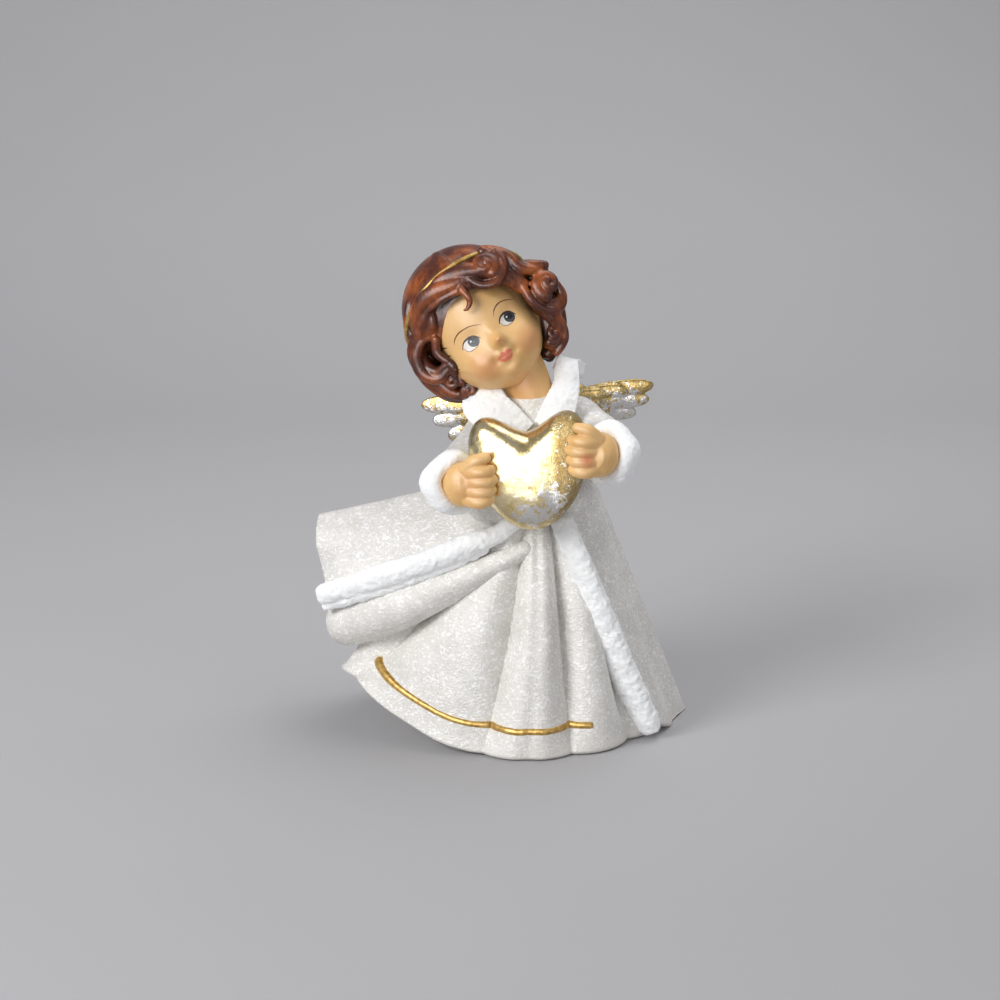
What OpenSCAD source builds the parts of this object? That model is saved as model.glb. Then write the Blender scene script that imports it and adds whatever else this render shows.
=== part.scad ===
// Angel with a heart: a cast resin shelf figurine, painted, with leafed heart and wings.
// Millimetres. X is to the viewer's right, the angel looks along -Y, Z is up.
// The origin is the middle of the felt foot, on the shelf.

/* [Overall] */
// Height from the shelf to the top of the hair
figure_height = 120; // [80:1:200]
// Width of the dress hem on the shelf
hem_width = 60; // [48:0.5:80]
// Depth of the dress hem, front to back
hem_depth = 56; // [44:0.5:75]

/* [Dress] */
// Depth of the front pleats
pleat_depth = 2.2; // [0.5:0.1:3.5]
// Height of the left hem where it blows up off the shelf
hem_lift = 14; // [6:0.5:18]
// Width of the gold stripe near the hem
band_width = 2.3; // [1.2:0.1:4]
// Diameter of the felt foot
pad_diameter = 42; // [30:1:44]
// Thickness of the felt foot
pad_thickness = 1.2; // [0.8:0.1:2]

/* [Coat] */
// Thickness of the coat sheet
coat_thickness = 2.8; // [1.8:0.1:4]
// Depth of the flutes in the coat
flute_depth = 1.1; // [0.2:0.1:2]
// Width of the fur edge
fur_width = 5.6; // [3.5:0.1:7]
// Outside diameter of a fur cuff
cuff_diameter = 16.6; // [13:0.2:20]
// Diameter of the wrist
wrist_diameter = 6; // [4.5:0.1:7]

/* [Heart and wings] */
// Width of the heart over both lobes
heart_width = 28; // [22:0.5:34]
// Height of the heart
heart_tall = 27.5; // [22:0.5:34]
// Depth of the heart, front to back
heart_deep = 13; // [9:0.5:16]
// Length of the longest wing feather
wing_length = 21; // [15:0.5:28]
// Diameter of the wing peg
peg_diameter = 3; // [2:0.1:4]

/* [Head] */
// Width of the face over the cheeks
face_width = 27.6; // [22:0.2:34]
// Tilt of the head toward the viewer's left
head_tilt = 33; // [0:1:40]
// Diameter of the neck
neck_diameter = 9.4; // [7:0.1:12]
// Thickness of the hairband
hairband_wire = 1.1; // [0.7:0.1:2]

/* [Hidden] */
kz = figure_height / 120;
kx = hem_width / 60;
ky = hem_depth / 56;
kf = face_width / 27.6;
foot = 0.2;
play = 0.1;
waist_z = 54 * kz;
skirt_steps = 72;
pleat_hem = [186, 216, 251, 293, 326];
pleat_waist = [200, 238, 268, 304, 330];
recess = pad_thickness - foot;

// places on the body
bodice_at = [-2 * kx, -3 * ky, 0];
neck_base = [-1.2 * kx, -3.5 * ky, 82.5 * kz];
head_at = neck_base + kf * [-12.4, 3, 18.1];
heart_at = [-1.9 * kx, -20.3 * ky, 69.2 * kz];
cuff_left_at = [-20.2 * kx, -20.5 * ky, 66 * kz];
cuff_right_at = [16.6 * kx, -20.5 * ky, 73 * kz];
cuff_left_dir = [52, 0, 42];
cuff_right_dir = [52, 0, -42];
shoulder_left = body(-11, 1.5, 76);
shoulder_right = body(10.5, 1.5, 77);
elbow_left = body(-18.5, -6.5, 68.5);
elbow_right = body(18.5, -6.5, 74);
wing_left_at = [-7 * kx, 13.5 * ky, 77 * kz];
wing_right_at = [7.5 * kx, 13.5 * ky, 79 * kz];

// ---- small tools ----
function mix(a, b, t) = a + (b - a) * t;
function bump(a, c, p) = pow(max(0, cos(a - c)), p);
function bell(x, w) = exp(-(x * x) / (w * w));
function unit(v) = v / max(norm(v), 0.000001);
function clamp(x, lo, hi) = min(hi, max(lo, x));
function body(x, y, z) = [x * kx, y * ky, z * kz];
// smooth curve through a list of points, t from 0 to 1
function along(p, t) =
    let (n = len(p) - 1, f = clamp(t, 0, 1) * n, i = min(floor(f), n - 1), s = f - i)
    let (a = p[max(i - 1, 0)], b = p[i], c = p[i + 1], d = p[min(i + 2, n)])
    0.5 * (2 * b + (c - a) * s + (2 * a - 5 * b + 4 * c - d) * s * s
           + (3 * b - a - 3 * c + d) * s * s * s);

// rings of equal length joined into a closed solid, capped at both ends
module loft(rings) {
    n = len(rings[0]);
    m = len(rings);
    polyhedron(
        points = [for (r = rings) for (p = r) p],
        faces = concat(
            [[for (i = [0:n - 1]) i]],
            [for (j = [0:m - 2]) for (i = [0:n - 1])
                [j * n + i, (j + 1) * n + i, j * n + (i + 1) % n]],
            [for (j = [0:m - 2]) for (i = [0:n - 1])
                [j * n + (i + 1) % n, (j + 1) * n + i, (j + 1) * n + (i + 1) % n]],
            [[for (i = [n - 1:-1:0]) (m - 1) * n + i]]
        )
    );
}

// a chain of round beads along a list of [point, radius]
module chain(beads, fn = 12) {
    for (i = [0:len(beads) - 2])
        hull() {
            translate(beads[i][0]) sphere(r = beads[i][1], $fn = fn);
            translate(beads[i + 1][0]) sphere(r = beads[i + 1][1], $fn = fn);
        }
}

// the same chain with each bead pressed flat along Y
module flat_chain(beads, press, fn = 12) {
    for (i = [0:len(beads) - 2])
        hull() {
            translate(beads[i][0]) scale([1, press, 1]) sphere(r = beads[i][1], $fn = fn);
            translate(beads[i + 1][0]) scale([1, press, 1]) sphere(r = beads[i + 1][1], $fn = fn);
        }
}

// ---- dress ----
// the hem runs round the foot and lifts off the shelf at the left
function lift(a) = bump(a, 187, 5);
function hem_point(a) = [
    (-3 + 30 * cos(a) - 15 * lift(a) + 5 * bump(a, 14, 3)) * kx,
    28 * sin(a) * ky,
    foot + hem_lift * kz * lift(a)];
function waist_point(a) = [bodice_at[0] + 11.3 * kx * cos(a), bodice_at[1] + 11 * ky * sin(a), waist_z];
function pleat(a, t) =
    let (valleys = [for (i = [0:len(pleat_hem) - 1])
        bell(a - mix(pleat_hem[i], pleat_waist[i], t), 7 + 3 * t)])
    (0.35 - max(valleys)) * pleat_depth * (a > 175 && a < 345 ? 1 : 0)
    * (0.35 + 0.65 * sin(180 * clamp(t * 1.15, 0, 1)));
function skirt_point(a, t) =
    mix(hem_point(a), waist_point(a), t)
    + (pleat(a, t) + 0.8 * sin(180 * t)) * [cos(a), sin(a), 0];

module skirt_form() {
    n = skirt_steps;
    heights = [0, 0.06, 0.16, 0.3, 0.45, 0.6, 0.75, 0.9, 1];
    r = pad_diameter / 2 + 0.15;
    loft(concat(
        [[for (i = [0:n - 1]) [r * cos(i * 360 / n), r * sin(i * 360 / n), foot + recess]]],
        [[for (i = [0:n - 1]) [r * cos(i * 360 / n), r * sin(i * 360 / n), foot]]],
        [[for (i = [0:n - 1]) let (a = i * 360 / n)
            [-1.5 * kx + 25 * kx * cos(a), 25 * ky * sin(a), foot]]],
        [for (t = heights) [for (i = [0:n - 1]) skirt_point(i * 360 / n, t)]]
    ));
}

module dress_skirt() {
    color("#d4d1cc") skirt_form();
}

module felt_pad() {
    color("#3d4a3a") cylinder(d = pad_diameter, h = pad_thickness, $fn = 96);
}

module bodice_form() {
    translate(bodice_at) scale([kx, ky, kz])
        rotate_extrude($fn = 48)
            polygon([[0, 54], [11, 54], [9.6, 60], [9.8, 68], [10.6, 75], [8.6, 80], [6, 82.5], [0, 82.5]]);
}

module dress_bodice() {
    color("#dedbd6") difference() {
        bodice_form();
        translate([neck_base[0], neck_base[1], neck_base[2] - 6])
            cylinder(r = neck_diameter / 2 - 1 + play, h = 7, $fn = 48);
    }
}

// raised stripe that follows the hem across the front
module hem_band() {
    from = 196;
    to = 304;
    steps = 18;
    color("#c9a24a") difference() {
        for (i = [0:steps - 1]) {
            a = mix(from, to, i / steps);
            b = mix(from, to, (i + 1) / steps);
            hull() {
                translate(skirt_point(a, 0.125)) scale([1, 1, band_width / 1.8]) sphere(r = 0.9, $fn = 8);
                translate(skirt_point(b, 0.125)) scale([1, 1, band_width / 1.8]) sphere(r = 0.9, $fn = 8);
            }
        }
        skirt_form();
    }
}

// ---- coat ----
// hem and top of the coat sheet, from the right front edge round the back to the left edge
coat_hem = [body(29, -13, 3.5), body(35.5, -2, -1), body(37, 10, -1), body(27, 23, -1), body(8, 30, -1),
            body(-13, 29, -1), body(-31, 24, 7), body(-44, 17, 23), body(-52, 11, 41), body(-54, 3, 54),
            body(-53.5, -4, 46), body(-51.5, -9, 35)];
coat_top = [body(7, -15, 57), body(12.6, -8.6, 62), body(13.4, 0, 64), body(10, 8, 65), body(4, 10.8, 65),
            body(-5, 10.8, 65), body(-11, 8.6, 65), body(-14.4, 5, 64), body(-17, 1, 63), body(-17.4, -3, 61.5),
            body(-14, -9, 57), body(-4, -17, 52.5)];
flap_from = 7 / 11;

function coat_out(u, v) =
    mix(along(coat_top, u), along(coat_hem, u), v)
    + body(0, -3.2, 0) * sin(180 * v) * pow(clamp(u * 4 - 3, 0, 1), 1.5)
    + body(0, -1.2, 0) * sin(180 * v) * clamp(1 - u * 6, 0, 1);
function coat_normal(u, v) =
    let (e = 0.01, uu = clamp(u, e, 1 - e), vv = clamp(v, e, 1 - e))
    unit(cross(coat_out(uu, vv + e) - coat_out(uu, vv - e), coat_out(uu + e, vv) - coat_out(uu - e, vv)));
function flute(u, v) = flute_depth * v * sin(u * 360 * 7) * clamp(min(u, 1 - u) * 12, 0, 1);
function coat_skin(u, v, inward) =
    coat_out(u, v) - coat_normal(u, v) * (inward - flute(u, v));

// one panel of the coat between two places round the body
module coat_sheet(u0, u1, nu, nv, thick) {
    w = nu + 1;
    h = nv + 1;
    outer = [for (j = [0:nv]) for (i = [0:nu]) coat_skin(mix(u0, u1, i / nu), j / nv, 0)];
    inner = [for (j = [0:nv]) for (i = [0:nu])
        coat_skin(mix(u0, u1, i / nu), j / nv, thick)];
    o = w * h;
    rim = concat([for (i = [0:nu - 1]) i], [for (j = [0:nv - 1]) j * w + nu],
                 [for (i = [nu:-1:1]) nv * w + i], [for (j = [nv:-1:1]) j * w]);
    polyhedron(
        points = concat(outer, inner),
        faces = concat(
            [for (j = [0:nv - 1]) for (i = [0:nu - 1]) [j * w + i, j * w + i + 1, (j + 1) * w + i]],
            [for (j = [0:nv - 1]) for (i = [0:nu - 1]) [j * w + i + 1, (j + 1) * w + i + 1, (j + 1) * w + i]],
            [for (j = [0:nv - 1]) for (i = [0:nu - 1]) [o + j * w + i, o + (j + 1) * w + i, o + j * w + i + 1]],
            [for (j = [0:nv - 1]) for (i = [0:nu - 1])
                [o + j * w + i + 1, o + (j + 1) * w + i, o + (j + 1) * w + i + 1]],
            [for (q = [0:len(rim) - 1]) let (a = rim[q], b = rim[(q + 1) % len(rim)]) [b, a, o + a]],
            [for (q = [0:len(rim) - 1]) let (a = rim[q], b = rim[(q + 1) % len(rim)]) [b, o + a, o + b]]
        )
    );
}

// jacket part over the chest and back, open at the front
module jacket() {
    difference() {
        union() {
            hull() {
                translate(body(-2, 0, 60)) scale([kx, ky, kz]) cylinder(r1 = 13.6, r2 = 12.5, h = 6, $fn = 28);
                translate(body(-1.5, 0.5, 73)) scale([kx * 1.02, ky * 0.98, kz * 0.8]) sphere(r = 12.6, $fn = 24);
            }
            for (s = [-1, 1])
                hull() {
                    translate(body(-0.5 + s * 5, 1, 75)) scale([kx, ky, kz]) sphere(r = 6.8, $fn = 14);
                    translate(body(-0.5 + s * 10, 1.5, 76)) scale([kx, ky, kz]) sphere(r = 5, $fn = 14);
                }
        }
        hull() {
            translate(body(-1.5, -20, 58)) scale([kx, ky, kz]) cylinder(r = 7, h = 30, $fn = 24);
            translate(body(-1.5, -8, 58)) scale([kx, ky, kz]) cylinder(r = 6, h = 30, $fn = 24);
        }
        translate(body(-30, -30, 82.5)) cube([60 * kx, 60 * ky, 20 * kz]);
    }
}

module wing_pegs(extra) {
    for (p = [wing_left_at, wing_right_at])
        translate(p + [0, -8 * ky, 0]) rotate([-90, 0, 0])
            cylinder(d = peg_diameter + extra, h = 10 * ky, $fn = 24);
}

module coat_body_form() {
    difference() {
        union() {
            coat_sheet(0, flap_from, 30, 8, coat_thickness);
            jacket();
        }
        skirt_form();
        bodice_form();
        coat_flap_form();
        translate([-60 * kx, -60 * ky, -20]) cube([120 * kx, 120 * ky, 20 + foot]);
    }
}

module coat_body() {
    color("#cfccc7") difference() {
        coat_body_form();
        wing_pegs(2 * play);
    }
}

module coat_flap_form() {
    difference() {
        union() {
            coat_sheet(flap_from, 1, 18, 9, coat_thickness);
            // padding that rounds the fold where the flap turns over
            for (i = [0:7])
                hull() {
                    translate(coat_skin(0.8, 0.3 + i * 0.08, 3)) sphere(r = 1.8, $fn = 8);
                    translate(coat_skin(0.8, 0.38 + i * 0.08, 3)) sphere(r = 1.8, $fn = 8);
                }
        }
        skirt_form();
        bodice_form();
        jacket();
    }
}

module coat_flap() {
    color("#d4d1cc") coat_flap_form();
}

// rolled lining under the left fur edge, thick at the blown end
module coat_lining() {
    n = 9;
    color("#d9d6d1") difference() {
        chain([for (i = [0:n]) let (t = i / n)
            [coat_skin(1, t, 1) + body(mix(1, 5, t), mix(2, 3.5, t), mix(-3, -7.5, t)), mix(2.4, 6, t)]], 16);
        skirt_form();
        coat_flap_form();
        jacket();
        bodice_form();
    }
}

function edge_left(t) = coat_skin(1, t, coat_thickness * 0.35) + body(0, -1.3, 0.2);
function edge_right(t) = coat_skin(0, t, coat_thickness * 0.35) + body(-0.6, -1.2, 0);

module fur_trim_left() {
    n = 14;
    color("#eef1f2") difference() {
        flat_chain([for (i = [0:n]) let (t = i / n)
            [edge_left(t), fur_width / 2 + 0.15 * sin(i * 137)]], 0.72, 12);
        coat_flap_form();
        skirt_form();
        coat_lining();
        bodice_form();
        jacket();
    }
}

module fur_trim_right() {
    n = 13;
    color("#eef1f2") difference() {
        flat_chain([for (i = [0:n]) let (t = i / n)
            [edge_right(mix(0.03, 0.98, t)), fur_width / 2 + 0.15 * sin(i * 137)]], 0.72, 12);
        coat_body_form();
        skirt_form();
        bodice_form();
        translate([-60 * kx, -60 * ky, -20]) cube([120 * kx, 120 * ky, 20 + foot]);
    }
}

// ---- collar ----
module lapel(inner, outer, thick) {
    for (i = [0:len(inner) - 2])
        hull() {
            translate(inner[i]) sphere(r = thick, $fn = 12);
            translate(outer[i]) sphere(r = thick, $fn = 12);
            translate(inner[i + 1]) sphere(r = thick, $fn = 12);
            translate(outer[i + 1]) sphere(r = thick, $fn = 12);
        }
}

module collar_left() {
    n = 8;
    inner = [body(-8.5, 5, 86), body(-8, -4, 85), body(-4.6, -9, 81), body(-1, -10.6, 76)];
    outer = [body(-15, 5, 82), body(-16, -5, 81.5), body(-13, -9.5, 77), body(-7, -10.6, 72)];
    color("#eef1f2") difference() {
        lapel([for (i = [0:n]) along(inner, i / n)], [for (i = [0:n]) along(outer, i / n)], 1.9);
        coat_body_form();
        bodice_form();
        heart_form();
    }
}

module collar_right() {
    n = 8;
    inner = [body(4.6, 5, 88), body(5, -2, 89.5), body(4.4, -8, 84), body(2.5, -10.6, 76)];
    outer = [body(12.5, 5, 85), body(10.6, -2, 88), body(9.5, -8.6, 81), body(6.5, -10.6, 75)];
    color("#eef1f2") difference() {
        lapel([for (i = [0:n]) along(inner, i / n)], [for (i = [0:n]) along(outer, i / n)], 1.9);
        coat_body_form();
        bodice_form();
        heart_form();
        neck_form();
    }
}

// ---- arms ----
module cuff_place(at, dir) {
    translate(at) rotate([0, 0, dir[2]]) rotate([90 - 8, 0, 0]) children();
}

module cuff_ring() {
    r = cuff_diameter / 2;
    b = wrist_diameter / 2 + play;
    rotate_extrude($fn = 40)
        polygon([[b, -3], [r - 2.6, -3], [r - 0.8, -2], [r, -0.2], [r - 0.4, 1.6],
                 [r - 2, 3], [b + 1.4, 3], [b, 2.2]]);
}

module cuff_left() {
    color("#eef1f2") cuff_place(cuff_left_at, cuff_left_dir) cuff_ring();
}

module cuff_right() {
    color("#eef1f2") cuff_place(cuff_right_at, cuff_right_dir) cuff_ring();
}

module sleeve_form(at, dir, shoulder, elbow) {
    n = 3;
    r = cuff_diameter / 2 - 2.4;
    chain([for (i = [0:n]) [mix(shoulder, elbow, i / n), mix(5.6, r, i / n)]], 14);
    for (i = [0:3])
        hull() {
            translate(mix(elbow, at, i * 0.2)) sphere(r = r, $fn = 14);
            if (i < 3) translate(mix(elbow, at, (i + 1) * 0.2)) sphere(r = r, $fn = 14);
            else cuff_place(at, dir) translate([0, 0, -3.2]) cylinder(r = r, h = 0.2, $fn = 24);
        }
}

module sleeve(side) {
    at = side < 0 ? cuff_left_at : cuff_right_at;
    dir = side < 0 ? cuff_left_dir : cuff_right_dir;
    shoulder = side < 0 ? shoulder_left : shoulder_right;
    elbow = side < 0 ? elbow_left : elbow_right;
    color("#d4d1cc") difference() {
        sleeve_form(at, dir, shoulder, elbow);
        cuff_place(at, dir) translate([0, 0, -3]) cylinder(r = 12, h = 30, $fn = 24);
        translate(side < 0 ? body(-13, -40, 50) : body(-27.6, -40, 50)) cube([40 * kx, 80 * ky, 60 * kz]);
        cuff_place(at, dir) translate([0, 0, -8]) cylinder(d = wrist_diameter + 2 * play, h = 20, $fn = 32);
        coat_body_form();
        coat_flap_form();
        bodice_form();
        collar_left();
        collar_right();
        heart_form();
        skirt_form();
    }
}

module sleeve_left() {
    sleeve(-1);
}

module sleeve_right() {
    sleeve(1);
}

// side -1 is the hand at the viewer's left
module hand(side) {
    at = side < 0 ? cuff_left_at : cuff_right_at;
    dir = side < 0 ? cuff_left_dir : cuff_right_dir;
    palm = at + [-side * 3.2, -5.2, 1];
    color("#e3b48a") difference() {
        union() {
            cuff_place(at, dir) translate([0, 0, -7]) cylinder(d = wrist_diameter, h = 11, $fn = 24);
            hull() {
                cuff_place(at, dir) translate([0, 0, 3]) cylinder(d = wrist_diameter, h = 0.5, $fn = 12);
                translate(palm) scale([0.95, 0.75, 1.2]) sphere(r = 4.4, $fn = 16);
            }
            for (i = [0:3]) {
                z = 3.4 - i * 2.25;
                knuckle = palm + [-side * 2.4, -2.2, z];
                tip = knuckle + [-side * (4.1 - abs(i - 1.2) * 0.4), -0.2, 0.3];
                chain([[palm + [0, -0.5, z * 0.8], 1.6], [knuckle, 1.3], [tip, 1.15]], 10);
            }
            chain([[palm + [0, 0, 2.6], 1.8], [palm + [-side * 2.2, 0.4, 5.4], 1.45],
                   [palm + [-side * 4, 0.4, 6.2], 1.2]], 10);
        }
        heart_form();
    }
}

module hand_left() {
    hand(-1);
}

module hand_right() {
    hand(1);
}

// ---- heart ----
// outline of a plump heart, a from 0 at the notch, clockwise
function heart_x(a) = pow(abs(sin(a)), cos(a) > 0 ? 1.7 : 0.9) * sign(sin(a));
function heart_z(a) =
    (13 * cos(a) - 5 * cos(2 * a) - 2 * cos(3 * a) - cos(4 * a) + 2.6) / 14.6
    + 0.12 * bump(a, 0, 14);

module heart_form() {
    n = 36;
    m = 11;
    rows = [for (j = [1:m - 1]) j * 180 / m];
    rings = [for (q = rows) [for (i = [0:n - 1])
        let (a = -(i + 0.5) * 360 / n, s = pow(sin(q), 0.62))
        [heart_width / 2 * heart_x(a) * s, heart_deep / 2 * cos(q), heart_tall / 2 * heart_z(a) * s]]];
    last = len(rings) * n;
    translate(heart_at) rotate([4, -5, 0])
        polyhedron(
            points = concat([for (r = rings) for (p = r) p],
                            [[0, heart_deep / 2, 0], [0, -heart_deep / 2, 0]]),
            faces = concat(
                [for (i = [0:n - 1]) [last, i, (i + 1) % n]],
                [for (j = [0:m - 3]) for (i = [0:n - 1])
                    [j * n + i, (j + 1) * n + i, j * n + (i + 1) % n]],
                [for (j = [0:m - 3]) for (i = [0:n - 1])
                    [j * n + (i + 1) % n, (j + 1) * n + i, (j + 1) * n + (i + 1) % n]],
                [for (i = [0:n - 1]) [last + 1, (m - 2) * n + (i + 1) % n, (m - 2) * n + i]]
            )
        );
}

module heart() {
    color("#b8902f") heart_form();
}

// ---- wings ----
module feather(len, wide, thick) {
    linear_extrude(height = thick)
        hull() {
            circle(r = wide * 0.32, $fn = 14);
            translate([len * 0.62, 0]) circle(r = wide * 0.5, $fn = 14);
            translate([len - wide * 0.3, 0]) circle(r = wide * 0.3, $fn = 14);
        }
}

module wing(side) {
    at = side < 0 ? wing_left_at : wing_right_at;
    color("#c2a45a") difference() {
        union() {
            translate(at) rotate([-90, 0, 0]) cylinder(d = 6, h = 3.4, $fn = 24);
            translate(at + [0, -4 * ky, 0]) rotate([-90, 0, 0])
                cylinder(d = peg_diameter, h = 4.4 * ky, $fn = 24);
            // three rows of feathers, the long row behind
            translate(at) mirror([side < 0 ? 1 : 0, 0, 0]) rotate([90, 0, 12])
                for (row = [0:2])
                    for (i = [0:3 - (row == 2 ? 1 : 0)]) {
                        l = wing_length * (1 - 0.24 * row) * (1 - 0.1 * i);
                        translate([0, 1 - i * 0.6, -3.4 + row * 1.05])
                            rotate([0, 0, 16 - i * 19 - row * 5])
                                feather(l, 6.4 - row * 0.7, 1.5);
                    }
        }
        coat_body_form();
        sleeve_form(cuff_left_at, cuff_left_dir, shoulder_left, elbow_left);
        sleeve_form(cuff_right_at, cuff_right_dir, shoulder_right, elbow_right);
        collar_left();
        collar_right();
    }
}

module wing_left() {
    wing(-1);
}

module wing_right() {
    wing(1);
}

// ---- neck and head ----
// eight thin slices that lean from the neckline to the head
module neck_form() {
    n = 8;
    top = head_at - kf * [-3, 1, 5];
    lean = acos((top - neck_base)[2] / norm(top - neck_base));
    for (i = [0:n - 1])
        hull()
            for (t = [i / n, (i + 1) / n])
                translate(mix(neck_base, top, t)) rotate([0, -lean * t, 0])
                    scale([1 + 0.12 * pow(1 - t, 3), 1 + 0.12 * pow(1 - t, 3), 1])
                        cylinder(d = neck_diameter, h = 0.02, $fn = 20);
}

module neck() {
    color("#e3b48a") union() {
        neck_form();
        translate([neck_base[0], neck_base[1], neck_base[2] - 5.8])
            cylinder(r = neck_diameter / 2 - 1, h = 6.5, $fn = 20);
    }
}

module head_place() {
    translate(head_at) rotate([0, -head_tilt, 0]) rotate([0, 0, 12]) rotate([-6, 0, 0]) scale(kf) children();
}

module head_form() {
    head_place() {
        hull() {
            translate([0, -1, -2.5]) scale([13.6, 13.2, 13]) sphere(r = 1, $fn = 20);
            translate([0, 3, 3.5]) scale([14, 13.5, 13]) sphere(r = 1, $fn = 20);
        }
        for (s = [-1, 1]) {
            // cheek and ear of one side
            hull() {
                translate([s * 6.6, -8.6, -6.6]) sphere(r = 5.4, $fn = 12);
                translate([s * 4, -8, -8.6]) sphere(r = 4.6, $fn = 12);
            }
            hull() {
                translate([s * 13.4, -1, -3]) scale([0.5, 0.7, 1]) sphere(r = 2.6, $fn = 12);
                translate([s * 13, -0.6, -6]) scale([0.5, 0.7, 1]) sphere(r = 2, $fn = 12);
            }
        }
        hull() {
            translate([0, -13.6, -1.6]) sphere(r = 1, $fn = 12);
            translate([0, -14.9, -4.4]) sphere(r = 1.5, $fn = 12);
        }
        hull() {
            translate([-1.3, -13.6, -8.2]) sphere(r = 0.9, $fn = 8);
            translate([1.3, -13.6, -8.2]) sphere(r = 0.9, $fn = 8);
        }
        hull() {
            translate([0, -10, -12.2]) sphere(r = 3.2, $fn = 16);
            translate([0, -7, -13]) sphere(r = 3.4, $fn = 16);
        }
    }
}

module head() {
    color("#e8c48f") difference() {
        head_form();
        neck_form();
    }
}

module band_place() {
    head_place() translate([0, 1.5, 5]) rotate([-36, 0, 0]) children();
}

module hairband_form() {
    band_place() rotate_extrude($fn = 40) translate([15.8, 0]) circle(d = hairband_wire / kf, $fn = 14);
}

module hairband() {
    color("#c9a24a") hairband_form();
}

// smooth dome behind the hairband
module hair_cap_form() {
    difference() {
        head_place() {
            hull() {
                translate([0, 2.6, 4.2]) scale([17, 14.6, 14.6]) sphere(r = 1, $fn = 20);
                translate([-1, 4.5, 0]) scale([16.4, 14, 13]) sphere(r = 1, $fn = 16);
            }
            // soft locks at the nape
            for (i = [-3:3])
                hull() {
                    translate([i * 4, 9, -6]) sphere(r = 4.6, $fn = 8);
                    translate([i * 3.4, 7, -12]) sphere(r = 3.6, $fn = 8);
                }
        }
        // open in front of the band on top, and over the face lower down
        intersection() {
            band_place() translate([-40, -40, -60]) cube([80, 80, 60]);
            head_place() translate([-40, -40, 1.5]) cube([80, 80, 60]);
        }
        head_place() translate([-40, -84, -50]) cube([80, 80, 80]);
    }
}

module hair_cap() {
    color("#6b3a20") difference() {
        hair_cap_form();
        head_place() translate([0, 2.6, 2.2]) scale([14.7, 14.2, 14.8]) sphere(r = 1, $fn = 18);
        head_form();
        hairband_form();
        neck_form();
        // a small relief below the ear, where the nape lock starts
        head_place() translate([-12.5, -1.4, -7.1]) sphere(r = 1.2, $fn = 8);
    }
}

// a flat rolled curl: an outer ring, an inner ring and a bead
module rose(at, r, turn) {
    head_place() translate(at) rotate(turn) {
        rotate_extrude($fn = 12) translate([r * 0.68, 0]) circle(r = r * 0.34, $fn = 6);
        translate([0, 0, r * 0.12]) rotate_extrude($fn = 8) translate([r * 0.28, 0]) circle(r = r * 0.2, $fn = 5);
        sphere(r = r * 0.3, $fn = 8);
    }
}

module hair_front_form() {
    rose([6.7, -12.6, 10.4], 4.2, [70, 0, 20]);
    head_place() {
        chain([[[-11.5, -7, 8.6], 2.8], [[-7, -10, 11.6], 3.2], [[-1.5, -11.6, 12.4], 3.2],
               [[3, -12.2, 12.2], 2.8], [[9.5, -10.6, 9.4], 3.2], [[12.4, -9, 5.4], 3],
               [[14.2, -7.6, 1.6], 2.6]], 12);
        chain([[[-9, -10.6, 8.4], 1.6], [[-4.5, -12.8, 9.8], 1.8], [[1, -13.4, 10.2], 1.6]], 8);
    }
}

module hair_front() {
    color("#6b3a20") difference() {
        hair_front_form();
        head_form();
        hairband_form();
        hair_cap_form();
    }
}

module forelock() {
    color("#6b3a20") difference() {
        head_place() chain([[[0.6, -13.6, 9.6], 0.9], [[-0.8, -14, 8.6], 0.9], [[-1.4, -14.2, 7.8], 0.85],
                            [[-1.2, -14.3, 7], 0.8], [[-1.4, -14.3, 6.2], 0.75], [[-2, -14.3, 5.6], 0.65],
                            [[-2.8, -14.2, 5.2], 0.55], [[-3.5, -14, 5.2], 0.45], [[-4, -13.8, 5.5], 0.35]], 8);
        head_form();
        hair_front_form();
    }
}

module hair_left_form() {
    rose([-13.4, -6.4, 7], 3.2, [60, 0, -50]);
    rose([-16, -3.6, -5], 4, [60, 0, -60]);
    rose([-13, -4.2, -10], 2.8, [70, 0, -30]);
    head_place() {
        chain([[[-12.8, 1, 11], 4], [[-15.4, -1, 6], 4.2], [[-16.6, 0, 0], 4.4],
               [[-16.4, 0.4, -6], 4.2], [[-14.2, 0, -10.5], 3.6], [[-12.4, 0, -13.5], 2.8]], 8);
        chain([[[-14.4, -4.4, 5], 2.4], [[-17, -3.6, 0], 2.6], [[-17.4, -3, -5], 2.4],
               [[-15.4, -3.4, -9.4], 2.2]], 8);
    }
}

module hair_left() {
    color("#6b3a20") difference() {
        hair_left_form();
        head_form();
        hairband_form();
        hair_cap_form();
        hair_front_form();
        collar_left();
        coat_body_form();
        neck_form();
    }
}

module hair_right_form() {
    rose([15.2, -8.2, -2.2], 4.8, [70, 0, 42]);
    rose([11, -6, -12], 3.6, [70, 0, 30]);
    head_place() {
        chain([[[13.6, 0, 9], 3.6], [[16, -2.6, 2], 3.8], [[15.8, -3.4, -5], 3.8], [[12.8, -2.8, -10.4], 3.8],
               [[9.4, -2, -14.6], 3], [[5.4, -1.4, -16.6], 2.4]], 10);
        chain([[[13.6, -7.4, -5.4], 2], [[12, -6, -9], 2.2], [[9.6, -4.4, -14], 2.2]], 8);
    }
}

module hair_right() {
    color("#6b3a20") difference() {
        hair_right_form();
        head_form();
        hairband_form();
        hair_cap_form();
        hair_front_form();
        collar_right();
        coat_body_form();
        neck_form();
    }
}

felt_pad();
dress_skirt();
dress_bodice();
hem_band();
coat_body();
coat_flap();
coat_lining();
fur_trim_left();
fur_trim_right();
collar_left();
collar_right();
sleeve_left();
sleeve_right();
cuff_left();
cuff_right();
hand_left();
hand_right();
heart();
wing_left();
wing_right();
neck();
head();
hair_cap();
hair_front();
hair_left();
hair_right();
forelock();
hairband();
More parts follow.
